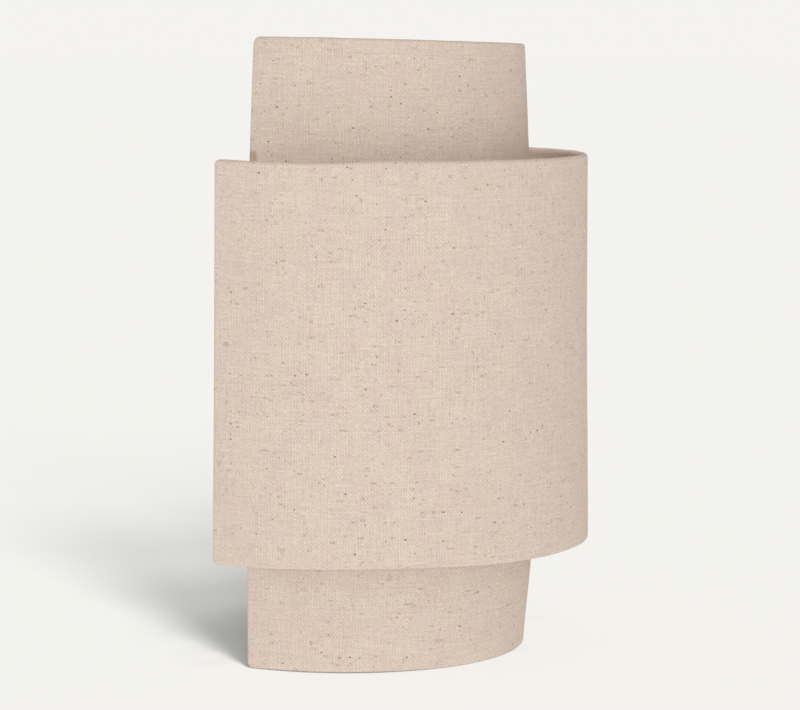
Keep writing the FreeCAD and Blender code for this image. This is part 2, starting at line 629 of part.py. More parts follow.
def earth_tag(seat):
    """Ring tag under the earth screw, bent out to a crimped barrel."""
    out = "(%s + seat_gap)" % seat
    ring = cylinder("tag_disc", "tag_ring/2", "tag_metal", y="-" + out, z=LEG_SCREW_UP, turns=[(RIGHT, "90")])
    hole = cylinder("tag_hole", "screw_shank/2 + seat_gap", "3*tag_metal", y="-%s + tag_metal" % out, z=LEG_SCREW_UP,
                    turns=[(RIGHT, "90")])
    body = new_body("tag_strip")
    foot, knee = "(%s + tag_ring/2 - tag_metal)" % LEG_SCREW_UP, "(%s + tag_ring/2 + tag_neck)" % LEG_SCREW_UP
    barrel_back = "(%s - wire_outer/2 - seat_gap)" % POLE_OUT
    shape = [("-" + out, foot), ("-%s - tag_metal" % out, foot), ("-%s - tag_metal" % out, knee + " - tag_metal"),
             ("-%s" % barrel_back, knee + " - tag_metal"), ("-%s" % barrel_back, knee), ("-" + out, knee)]
    pad(body, outline(body, "YZ", shape), "tag_ring/2", both_ways=True)
    barrel = cylinder("tag_tube", "wire_outer/2 + tag_metal", "tag_barrel", y="-" + POLE_OUT, z=knee + " - tag_metal")
    way = cylinder("tag_way", "wire_outer/2 + seat_gap", "tag_barrel + 2", y="-" + POLE_OUT,
                   z=knee + " - tag_metal - 1")
    keep("earth_tag", without("earth_tag", fused("tag_blank", ring, body, barrel), hole, way))


# ---- lampholder and lamp --------------------------------------------------------------------

def nipple_and_nut():
    way = cylinder("nipple_way", "nipple_bore/2", "nipple_below + nipple_above + 2", y="-lamp_reach",
                   z="-arm_down - nipple_below - 1")
    rod = cylinder("nipple_rod", "nipple_outer/2", "nipple_below + nipple_above", y="-lamp_reach",
                   z="-arm_down - nipple_below")
    keep("nipple", without("nipple", rod, way))
    washer_up = "(-arm_down - arm_thick - seat_gap - washer_thick)"
    body = new_body("lock_washer")
    pad(body, circles(body, "XY", [("0", "0", "washer_outer/2"), ("0", "0", "nipple_outer/2 + seat_gap")]),
        "washer_thick")
    root, past = "washer_outer/2 - tooth_deep", "washer_outer/2 + 1"
    notch = outline(body, "XY", [(root, "-tooth_gap/2"), (past, "-tooth_gap"), (past, "tooth_gap"),
                                 (root, "tooth_gap/2")])
    cut = pocket_through(body, notch)
    teeth = body.newObject("PartDesign::PolarPattern", "washer_pattern")
    teeth.Originals = [cut]
    teeth.Axis = (notch, ["N_Axis"])
    teeth.Angle = 360
    bind(teeth, Occurrences="washer_teeth")
    body.Tip = teeth
    keep("lock_washer", place(body, y="-lamp_reach", z=washer_up))
    nut = bind(document.addObject("Part::Prism", "nut_blank"), Circumradius="nut_across/2/cos(30*1deg)",
               Height="nut_thick")
    nut.Polygon = 6
    place(nut, y="-lamp_reach", z="%s - seat_gap - nut_thick" % washer_up)
    bore = cylinder("nut_bore", "nipple_outer/2 + seat_gap", "nut_thick + 2", y="-lamp_reach",
                    z="%s - seat_gap - nut_thick - 1" % washer_up)
    keep("nipple_nut", without("nipple_nut", nut, bore))


def lampholder():
    outer, bore = "holder_outer/2", "(holder_outer/2 - holder_wall)"
    entry, ledge = "(nipple_outer/2 + seat_gap)", "(holder_outer/2 - 2*holder_wall)"
    keep("holder_dome", lathe("holder_dome", [
        (entry, "0"), (outer + " - dome_round", "0"), (outer + " - dome_round/3", "dome_round/3"),
        (outer, "dome_round"), (outer, "dome_tall"), (bore, "dome_tall"), (bore, "insert_level"),
        (ledge, "insert_level"), (ledge, "dome_round"), (ledge + " - dome_round/2", "holder_wall"),
        ("dome_boss/2", "holder_wall"), ("dome_boss/2", "nipple_above + 1"), (entry, "nipple_above + 1")]))
    insert = lathe("insert_disc", [
        ("2", "insert_level"), (bore + " - seat_gap", "insert_level"),
        (bore + " - seat_gap", "insert_level + insert_thick"), ("2", "insert_level + insert_thick")])
    ways = [cylinder("insert_way_%d" % side, "wire_outer/2 + seat_gap", "insert_thick - 2",
                     x="%d*insert_way_out" % side,
                     y="-lamp_reach", z="-arm_down + insert_level - 1") for side in (-1, 1)]
    keep("holder_insert", without("holder_insert", insert, *ways))
    metal_out = "(thread_crest/2 + running + shell_metal)"
    spigot, top = "(dome_tall - spigot_tall)", "(dome_tall + sleeve_tall)"
    keep("holder_sleeve", lathe("holder_sleeve", [
        (metal_out + " + seat_gap", spigot + " + seat_gap"), (bore + " - seat_gap", spigot + " + seat_gap"),
        (bore + " - seat_gap", "dome_tall + seat_gap"), (outer, "dome_tall + seat_gap"), (outer, top + " - sleeve_lip"),
        (outer + " - sleeve_lip", top), (metal_out + " + seat_gap", top)]))
    low = "(insert_level + insert_thick + seat_gap)"
    crest = "(thread_crest/2 + running)"
    count = int(number("thread_turns"))
    waves = []
    for index in range(2 * count + 1):
        depth = "0" if index % 2 else "thread_depth"
        waves.append(("%s - %s" % (crest, depth), "%s + 1 + %d*thread_pitch/2" % (CAP_UP, index)))
    top_up = "(dome_tall + sleeve_tall - 2)"
    inside = [(crest, low), (crest, CAP_UP)] + waves + [(crest, top_up)]
    outside = [(metal_out, top_up)]
    outside += [("%s + shell_metal" % r, up) for r, up in reversed(waves)]
    outside += [(metal_out, CAP_UP), (metal_out, low)]
    keep("threaded_shell", lathe("threaded_shell", inside + outside))
    contacts(low)
    lamp(waves)


def contacts(low):
    """The sprung strip under the lamp's tip and the strip that feeds the shell."""
    tip_under = "(tip_level - running)"
    body = new_body("centre_strip")
    metal = "contact_metal"
    bend, end = "-(strip_pad + strip_rise)", "-(strip_pad + strip_rise + strip_foot)"
    base = [(end, low), (end, "%s + %s" % (low, metal)), (bend, "%s + %s" % (low, metal)),
            ("-strip_pad", tip_under), ("strip_pad", tip_under), ("strip_pad", "%s - %s" % (tip_under, metal)),
            ("-strip_pad + %s" % metal, "%s - %s" % (tip_under, metal)), ("%s + %s" % (bend, metal), low)]
    pad(body, outline(body, "XZ", [(x, "%s - arm_down" % up) for x, up in base]), "contact_wide", both_ways=True)
    keep("centre_contact", place(body, y="-lamp_reach"))
    edge = "(thread_crest/2 + running - 3*seat_gap)"
    body = new_body("side_strip")
    tall, foot = low + " + side_strip_tall", edge + " - side_strip_foot"
    base = [(edge, low), (edge, tall), ("%s - %s" % (edge, metal), tall),
            ("%s - %s" % (edge, metal), "%s + %s" % (low, metal)), (foot, "%s + %s" % (low, metal)), (foot, low)]
    pad(body, outline(body, "XZ", [(x, "%s - arm_down" % up) for x, up in base]), "contact_wide/2", both_ways=True)
    keep("side_contact", place(body, y="-lamp_reach"))


def lamp(waves):
    """A screw-in lamp: tip, insulator, threaded cap, housing and diffuser."""
    insulator_low = "(tip_level + tip_tall)"
    keep("bulb_tip", lathe("bulb_tip", [
        ("0", "tip_level"), ("tip_wide/2 - tip_bevel", "tip_level"), ("tip_wide/2", "tip_level + tip_bevel"),
        ("tip_wide/2", insulator_low), ("0", insulator_low)]))
    crest, root = "thread_crest/2", "(thread_crest/2 - thread_depth)"
    cap_top = "(%s + thread_turns*thread_pitch + cap_neck)" % CAP_UP
    cap_low = "(%s + seat_gap + insulator_tall)" % insulator_low
    keep("bulb_insulator", lathe("bulb_insulator", [
        ("0", insulator_low + " + seat_gap"), ("tip_wide/2", insulator_low + " + seat_gap"),
        (root + " - cap_metal - 0.4", cap_low), ("0", cap_low)]))
    turns = [("%s - running" % r, up) for r, up in waves]
    inside = "(%s - cap_metal)" % root
    keep("bulb_cap", lathe("bulb_cap", [
        (inside, cap_low + " + seat_gap"), (root, cap_low + " + seat_gap")] + turns[2:] + [
        (root, cap_top), (inside, cap_top)]))
    housing_low, housing_top = "(%s + seat_gap)" % cap_top, "(%s + seat_gap + housing_tall)" % cap_top
    keep("bulb_housing", lathe("bulb_housing", [
        ("0", housing_low), ("housing_foot", housing_low),
        ("housing_foot + housing_edge/3", housing_low + " + housing_edge"),
        ("(housing_foot + housing_top)/2", housing_low + " + housing_tall/2"), ("housing_top", housing_top),
        ("0", housing_top)]))
    diffuser("bulb_diffuser", housing_top)


def diffuser(name, housing_top):
    """A round cap with one wall thickness, a ball cut off flat where it meets the housing."""
    level = "(%s + diffuser_sunk - arm_down)" % housing_top
    ball = place(bind(document.addObject("Part::Sphere", "diffuser_ball"), Radius="diffuser_radius"),
                 y="-lamp_reach", z=level)
    hollow = place(bind(document.addObject("Part::Sphere", "diffuser_hollow"),
                        Radius="diffuser_radius - diffuser_wall"), y="-lamp_reach", z=level)
    low = box("diffuser_cut", "4*diffuser_radius", "4*diffuser_radius", "2*diffuser_radius",
              x="-2*diffuser_radius", y="-lamp_reach - 2*diffuser_radius",
              z="%s + seat_gap - arm_down - 2*diffuser_radius" % housing_top)
    return keep(name, without(name, ball, hollow, low))


# ---- wires ----------------------------------------------------------------------------------

def wire(name, points):
    """Straight runs through the points, joined by arcs as large as the runs allow."""
    path = [FreeCAD.Vector(*[number(part) for part in point]) for point in points]
    edges, start, radii = [], path[0], []
    for before, corner, after in zip(path, path[1:], path[2:]):
        arrive, leave = (corner - before), (after - corner)
        turn = arrive.getAngle(leave)
        cut = 0.45 * min(arrive.Length, leave.Length)
        radii.append(cut / math.tan(turn / 2))
        first = corner - FreeCAD.Vector(arrive).normalize() * cut
        last = corner + FreeCAD.Vector(leave).normalize() * cut
        bisector = (FreeCAD.Vector(leave).normalize() - FreeCAD.Vector(arrive).normalize()).normalize()
        middle = corner + bisector * (radii[-1] / math.cos(turn / 2) - radii[-1])
        edges += [Part.LineSegment(start, first).toShape(), Part.Arc(first, middle, last).toShape()]
        start = last
    edges.append(Part.LineSegment(start, path[-1]).toShape())
    spine = Part.Wire(edges)
    section = Part.Wire(Part.Circle(path[0], path[1] - path[0], number("wire_outer/2")).toShape())
    piece = document.addObject("Part::Feature", name)
    piece.Shape = spine.makePipeShell([section], True, False)
    print("%s: %.0f mm long, arcs of %s mm, volume %.2f of %.2f"
          % (name, spine.Length, [round(radius, 1) for radius in radii], piece.Shape.Volume,
             spine.Length * math.pi * number("wire_outer/2") ** 2))
    return keep(name, piece)


def wires():
    """Two wires from the lampholder to the block and one from the block to the earth tag."""
    for name, side in (("live_wire", -1), ("neutral_wire", 1)):
        across, beside = "%d*insert_way_out" % side, "%d*(wire_outer/2 + 0.7)" % side
        pole = "%d*block_pitch" % side
        wire(name, [
            (across, "-lamp_reach", "-arm_down + insert_level + 5"),
            (across, "-lamp_reach", "-arm_down + insert_level - 4"),
            (beside, "-lamp_reach", "-arm_down + nipple_above + 3"),
            (beside, "-lamp_reach", "-arm_down - nipple_below - 8"),
            ("%d*5" % side, "-lamp_reach + 14", "-arm_down - nipple_below - 20"),
            ("%d*10" % side, "-%s - 14" % POLE_OUT, "-arm_down - nipple_below - 20"),
            (pole, "-%s - 1" % POLE_OUT, "-arm_down - 13"),
            (pole, "-" + POLE_OUT, BLOCK_LOW + " - 9"),
            (pole, "-" + POLE_OUT, BLOCK_LOW + " + pole_sunk - 2*seat_gap")])
    wire("earth_wire", [("0", "-" + POLE_OUT, BLOCK_LOW + " + pole_sunk - 2*seat_gap"),
                        ("0", "-" + POLE_OUT, "%s + tag_ring/2 + tag_neck - tag_metal" % LEG_SCREW_UP)])


# ---- the whole light ------------------------------------------------------------------------

def block_fixings():
    """Two screws through the block between its poles."""
    pair = [screw("block_screw_%d" % index, "%d*block_pitch/2" % index, "plate_thick + block_deep/2",
                  BLOCK_SCREW_UP) for index in (-1, 1)]
    keep("block_screws", together("block_screws", *pair))


def check_and_write():
    """Stop if anything failed, then write one file per node."""
    document.recompute()
    for thing in document.Objects:
        if "Invalid" in thing.State or "Error" in thing.State:
            raise ValueError("%s failed: %s" % (thing.Label, thing.State))
    os.makedirs("parts", exist_ok=True)
    for node in nodes:
        if node.Shape.isNull() or not node.Shape.isValid() or not node.Shape.Solids:
            raise ValueError(node.Label + " has no valid solid")
        print("%-18s %d solids, %.1f mm3" % (node.Label, len(node.Shape.Solids), node.Shape.Volume))
        node.Shape.exportStep("parts/%s.step" % node.Label)
    print("%d nodes" % len(nodes))


shade()
wall_plate()
cable_grommet()
terminal_block()
block_fixings()
terminal_cover()
bracket_seat = lamp_bracket()
earth_tag(bracket_seat)
nipple_and_nut()
lampholder()
wires()
check_and_write()
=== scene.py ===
"""Half-round two-tier linen wall light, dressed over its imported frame.

X runs to the right along the wall, Y into the wall and Z up. Sizes in the classes are in millimetres
and noise scales in cells to the metre, unless a class says otherwise.
"""
import logging
import math
import random
from dataclasses import dataclass, field
from enum import Enum
from typing import Any, Iterable, NamedTuple, Sequence, Union

import bpy
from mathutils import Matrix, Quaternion, Vector, noise

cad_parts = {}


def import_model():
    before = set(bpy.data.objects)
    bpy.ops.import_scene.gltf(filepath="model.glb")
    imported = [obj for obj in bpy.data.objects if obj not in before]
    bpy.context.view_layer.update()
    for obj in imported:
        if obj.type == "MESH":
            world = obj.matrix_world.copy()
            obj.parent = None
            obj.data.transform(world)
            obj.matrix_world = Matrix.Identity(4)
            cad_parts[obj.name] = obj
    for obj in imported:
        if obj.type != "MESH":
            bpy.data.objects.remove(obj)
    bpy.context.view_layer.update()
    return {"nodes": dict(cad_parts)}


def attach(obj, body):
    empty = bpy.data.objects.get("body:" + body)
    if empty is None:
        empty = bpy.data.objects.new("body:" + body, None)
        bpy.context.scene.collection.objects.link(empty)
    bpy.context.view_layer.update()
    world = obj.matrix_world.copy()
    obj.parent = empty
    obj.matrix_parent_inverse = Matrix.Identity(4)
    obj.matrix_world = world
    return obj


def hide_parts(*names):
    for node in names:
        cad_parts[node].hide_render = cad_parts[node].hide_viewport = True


MM = 0.001
PER_METRE = 1 / MM
CLOTH_MAP = "cloth"
LOG = logging.getLogger("wall_light")
Number = Union[int, float]
Colour = tuple[float, float, float]
Line = tuple[tuple[float, float], ...]
Socket = bpy.types.NodeSocket
Piece = bpy.types.Object


class Body(Enum):
    """The parts that move as one."""

    FIXTURE = "fixture"
    SHADE = "shade"
    BULB = "bulb"


class Slot(Enum):
    """The finish slots of the record."""

    LINEN = "linen"
    LINER = "liner"
    FRAME_WIRE = "frame_wire"
    PLATE = "plate"
    ZINC = "zinc"
    BRASS = "brass"
    CAP_METAL = "cap_metal"
    RUBBER = "rubber"
    MOULDING = "moulding"
    HOLDER = "holder"
    PORCELAIN = "porcelain"
    BLACK_GLASS = "black_glass"
    LAMP_HOUSING = "lamp_housing"
    DIFFUSER = "diffuser"
    BROWN_WIRE = "brown_wire"
    BLUE_WIRE = "blue_wire"
    EARTH_WIRE_SKIN = "earth_wire_skin"


class Reach(Enum):
    """What a light falls on, as the link of the floor to it."""

    FLOOR_ALONE = "INCLUDE"
    ALL_BUT_FLOOR = "EXCLUDE"


# ---- shader building -------------------------------------------------------------------------


class Value:
    """A number socket that takes part in Python sums."""

    def __init__(self, graph: "Graph", socket: Socket) -> None:
        """Wrap an output socket of a graph."""
        self.graph = graph
        self.socket = socket

    def _math(self, operation: str, *others: Any) -> "Value":
        """The result of a Math node on self and other operands."""
        return self.graph.math(operation, self, *others)

    def __add__(self, other: Any) -> "Value":
        """self + other."""
        return self._math("ADD", other)

    def __radd__(self, other: Any) -> "Value":
        """other + self."""
        return self._math("ADD", other)

    def __sub__(self, other: Any) -> "Value":
        """self - other."""
        return self._math("SUBTRACT", other)

    def __rsub__(self, other: Any) -> "Value":
        """other - self."""
        return self.graph.math("SUBTRACT", other, self)

    def __mul__(self, other: Any) -> "Value":
        """self * other."""
        return self._math("MULTIPLY", other)

    def __rmul__(self, other: Any) -> "Value":
        """other * self."""
        return self._math("MULTIPLY", other)

    def __truediv__(self, other: Any) -> "Value":
        """self / other."""
        return self._math("DIVIDE", other)

    def __rtruediv__(self, other: Any) -> "Value":
        """other / self."""
        return self.graph.math("DIVIDE", other, self)

    def __abs__(self) -> "Value":
        """The size without the sign."""
        return self._math("ABSOLUTE")

    def centred(self) -> "Value":
        """A noise of 0 to 1, moved to lie around 0."""
        return self - 0.5

    def sine(self) -> "Value":
        """The sine, of radians."""
        return self._math("SINE")

    def floor(self) -> "Value":
        """The whole number below."""
        return self._math("FLOOR")

    def power(self, exponent: Number) -> "Value":
        """self to a power."""
        return self._math("POWER", exponent)

    def larger(self, other: Any) -> "Value":
        """The larger of the two."""
        return self._math("MAXIMUM", other)

    def step(self, low: Number, high: Number) -> "Value":
        """A smooth rise from 0 at low to 1 at high.

        Args:
            low: where the rise starts; above high, the result falls instead.
            high: where it ends.

        Returns:
            The eased value.
        """
        start, end, first, last = (low, high, 0.0, 1.0) if low < high else (high, low, 1.0, 0.0)
        ranged = self.graph.add("ShaderNodeMapRange", {"interpolation_type": "SMOOTHSTEP"}, {
            "Value": self, "From Min": start, "From Max": end, "To Min": first, "To Max": last})
        return Value(self.graph, ranged.outputs["Result"])


class Graph:
    """The node tree of a material or of the world."""

    def __init__(self, owner: bpy.types.Material | bpy.types.World) -> None:
        """Start an empty tree.

        Args:
            owner: the material or world that the nodes belong to.
        """
        owner.use_nodes = True
        self.owner = owner
        self.tree = owner.node_tree
        self.tree.nodes.clear()

    @classmethod
    def of_material(cls, name: str) -> "Graph":
        """The graph of a new material of that name."""
        return cls(bpy.data.materials.new(name))

    def add(self, kind: str, settings: dict[str, Any] | None = None,
            sockets: dict[Any, Any] | None = None) -> bpy.types.Node:
        """Add a node.

        Args:
            kind: the node's type.
            settings: properties that are set first.
            sockets: values, colours or links by input name or number.

        Returns:
            The node.
        """
        node = self.tree.nodes.new(kind)
        for key, setting in (settings or {}).items():
            setattr(node, key, setting)
        for key, value in (sockets or {}).items():
            value = value.socket if isinstance(value, Value) else value
            if isinstance(value, Socket):
                self.tree.links.new(value, node.inputs[key])
            elif isinstance(value, tuple) and node.inputs[key].type == "RGBA":
                node.inputs[key].default_value = (*value, 1.0)
            else:
                node.inputs[key].default_value = value
        return node

    def math(self, operation: str, *operands: Any) -> Value:
        """The result of a Math node on values or numbers."""
        node = self.add("ShaderNodeMath", {"operation": operation}, dict(enumerate(operands)))
        return Value(self, node.outputs[0])

    def vector_math(self, operation: str, *operands: Any) -> bpy.types.Node:
        """A Vector Math node on vectors."""
        return self.add("ShaderNodeVectorMath", {"operation": operation}, dict(enumerate(operands)))

    def vector(self, x: Any, y: Any, z: Any = 0.0) -> Socket:
        """A vector from three values or numbers."""
        return self.add("ShaderNodeCombineXYZ", {}, {"X": x, "Y": y, "Z": z}).outputs[0]

    def parts(self, vector: Socket) -> tuple[Value, Value, Value]:
        """The three values of a vector."""
        node = self.add("ShaderNodeSeparateXYZ", {}, {"Vector": vector})
        return Value(self, node.outputs[0]), Value(self, node.outputs[1]), Value(self, node.outputs[2])

    def place(self) -> Socket:
        """The point on the object, in metres."""
        return self.add("ShaderNodeTexCoord").outputs["Object"]

    def cloud(self, vector: Socket, scale: Number = 1.0, detail: Number = 2.0, rough: Number = 0.5) -> Value:
        """Soft noise from 0 to 1.

        Args:
            vector: where it is sampled.
            scale: cells in one unit of the vector.
            detail: octaves.
            rough: share of each further octave.

        Returns:
            The noise.
        """
        node = self.add("ShaderNodeTexNoise", {}, {
            "Vector": vector, "Scale": scale, "Detail": detail, "Roughness": rough})
        return Value(self, node.outputs[0])

    def mix(self, factor: Any, first: Any, second: Any, blend: str = "MIX") -> Socket:
        """Two colours mixed.

        Args:
            factor: share of the second.
            first: the first colour.
            second: the second colour.
            blend: the way that they are mixed.

        Returns:
            The mixed colour.
        """
        node = self.add("ShaderNodeMix", {"data_type": "RGBA", "blend_type": blend},
                        {0: factor, 6: first, 7: second})
        return node.outputs[2]

    def shade(self, colour: Any, light: Value) -> Socket:
        """A colour made lighter or darker by a value around 1."""
        grey = self.add("ShaderNodeCombineColor", {}, {0: light, 1: light, 2: light}).outputs[0]
        return self.mix(1.0, colour, grey, "MULTIPLY")

    def bump(self, height: Value, relief: float, strength: float) -> Socket:
        """A normal from a height.

        Args:
            height: heights around 0 to 1.
            relief: how far 1 stands proud, in millimetres.
            strength: share of the effect.

        Returns:
            The normal.
        """
        sockets = {"Height": height, "Distance": relief * MM, "Strength": strength}
        return self.add("ShaderNodeBump", {}, sockets).outputs[0]

    def finish(self, sockets: dict[str, Any]) -> bpy.types.Material:
        """Close the material with a Principled surface.

        Args:
            sockets: the surface's values and links by input name.

        Returns:
            The material.
        """
        surface = self.add("ShaderNodeBsdfPrincipled", {}, sockets)
        self.add("ShaderNodeOutputMaterial", {}, {"Surface": surface.outputs[0]})
        return self.owner


# ---- finishes --------------------------------------------------------------------------------


@dataclass(frozen=True)
class Flecks:
    """One kind of irregular fleck in the cloth, of bark or of coloured fibre.

    Attributes:
        colour: its colour.
        scale: flecks along a millimetre.
        reach: size of the largest, as a share of the distance between them.
        share: share of the places that hold one.
        depth: how fully it hides the cloth.
        squash: how much shorter it is up the cloth than across.
        least: size of the smallest, as a share of the largest.
        ragged: how ragged its edge is.
        ragged_cells: cells of that edge to a millimetre.
    """

    colour: Colour
    scale: float
    reach: float
    share: float
    depth: float
    squash: float = 1.5
    least: float = 0.4
    ragged: float = 0.5
    ragged_cells: float = 1.4

    def mask(self, g: Graph, flat: Socket) -> Value:
        """Where the flecks hide the cloth.

        Args:
            g: the graph.
            flat: the cloth's coordinates, in millimetres.

        Returns:
            The mask, from 0 to the flecks' depth.
        """
        squashed = g.vector_math("MULTIPLY", flat, (1.0, self.squash, 1.0)).outputs[0]
        cells = g.add("ShaderNodeTexVoronoi", {}, {"Vector": squashed, "Scale": self.scale}).outputs
        pick, size, _ = g.parts(cells["Color"])
        ragged = 1 + g.cloud(flat, self.ragged_cells).centred() * self.ragged
        radius = (size * (1 - self.least) + self.least) * self.reach
        near = Value(g, cells["Distance"]) * ragged / radius
        return near.step(1.0, 0.5) * pick.step(1 - self.share, 1 - self.share + 0.01) * self.depth


@dataclass(frozen=True)
class Weave:
    """Plain weave whose threads wander and differ in tone.

    Attributes:
        pitch: distance between warp threads.
        pick: distance between weft threads.
        wander: how far threads stray from their lines.
        stray_long: strays to a millimetre along a thread.
        stray_aside: strays to a millimetre across the threads.
        slant: least share of the rising diagonal in the weave.
        slant_swing: how much that share changes over the cloth.
        warp_pale: how much paler the warp is on top.
        weft_dark: how much darker the weft is on top.
        tones: spread of the threads' own tones.
        tone_cells: changes of tone to a millimetre along a thread.
        tone_jump: how unlike its neighbour's a thread's tones are.
        warp_lit: how much every other warp thread is paler.
        weft_lit: the same of the weft.
        sunk: height of a thread where it lies below.
    """

    pitch: float = 0.90
    pick: float = 1.30
    wander: float = 1.9
    stray_long: float = 0.045
    stray_aside: float = 0.30
    slant: float = 0.20
    slant_swing: float = 0.18
    warp_pale: float = 0.092
    weft_dark: float = 0.060
    tones: float = 0.34
    tone_cells: float = 0.06
    tone_jump: float = 5.37
    warp_lit: float = 0.032
    weft_lit: float = 0.010
    sunk: float = 0.3

    def threads(self, g: Graph, across: Value, up: Value) -> tuple[Value, Value]:
        """Which thread of each kind lies at a point.

        Args:
            g: the graph.
            across: places across the cloth, in millimetres.
            up: places up the cloth, in millimetres.

        Returns:
            Warp threads counted across and weft threads counted up.
        """
        drift = g.cloud(g.vector(across * self.stray_aside, up * self.stray_long), rough=0.6).centred()
        lift = g.cloud(g.vector(across * self.stray_long, up * self.stray_aside, 7.0), rough=0.6).centred()
        return (across + drift * self.wander) * (1 / self.pitch), (up + lift * self.wander) * (1 / self.pick)

    def warp_on_top(self, g: Graph, flat: Socket, warp: Value, weft: Value) -> Value:
        """1 where the warp lies on top and 0 where the weft does.

        Args:
            g: the graph.
            flat: the cloth's coordinates, in millimetres.
            warp: warp threads counted across.
            weft: weft threads counted up.

        Returns:
            The share of the warp.
        """
        slant = g.cloud(flat, 0.08).step(0.35, 0.65) * self.slant_swing + self.slant
        rising = ((warp - weft + 0.5) * math.pi).sine()
        falling = ((warp + weft + 0.5) * math.pi).sine()
        return (rising * slant - falling * (1 - slant)).step(-0.75, 0.75)

    def crown(self, wave: Value, on_top: Value) -> Value:
        """A thread's height, from its round section and whether it lies on top."""
        return abs(wave) * (on_top * (1 - self.sunk) + self.sunk)

    def tone(self, g: Graph, across: Value, up: Value, warp: Value, weft: Value, over: Value) -> Value:
        """The own tone of the thread on top.

        Args:
            g: the graph.
            across: places across the cloth, in millimetres.
            up: places up the cloth, in millimetres.
            warp: warp threads counted across.
            weft: weft threads counted up.
            over: 1 where the warp lies on top.

        Returns:
            The tone, around 0.
        """
        warp_place = g.vector(warp.floor() * self.tone_jump, up * self.tone_cells, 3.0)
        warp_tone = g.cloud(warp_place, detail=1.0).centred()
        weft_tone = self.along_weft(g, across, weft, self.tone_cells, self.tone_jump, layer=9.0).centred()
        return over * warp_tone + (1 - over) * weft_tone

    def along_weft(self, g: Graph, across: Value, weft: Value, cells: float, jump: float, layer: float,
                   detail: float = 1.0, rough: float = 0.5) -> Value:
        """Noise that runs along each weft thread and changes from one to the next.

        Args:
            g: the graph.
            across: places across the cloth, in millimetres.
            weft: weft threads counted up.
            cells: cells to a millimetre along the thread.
            jump: cells from one thread to the next.
            layer: its own place in the noise.
            detail: octaves.
            rough: share of each further octave.

        Returns:
            The noise.
        """
        return g.cloud(g.vector(across * cells, weft.floor() * jump, layer), 1.0, detail, rough)


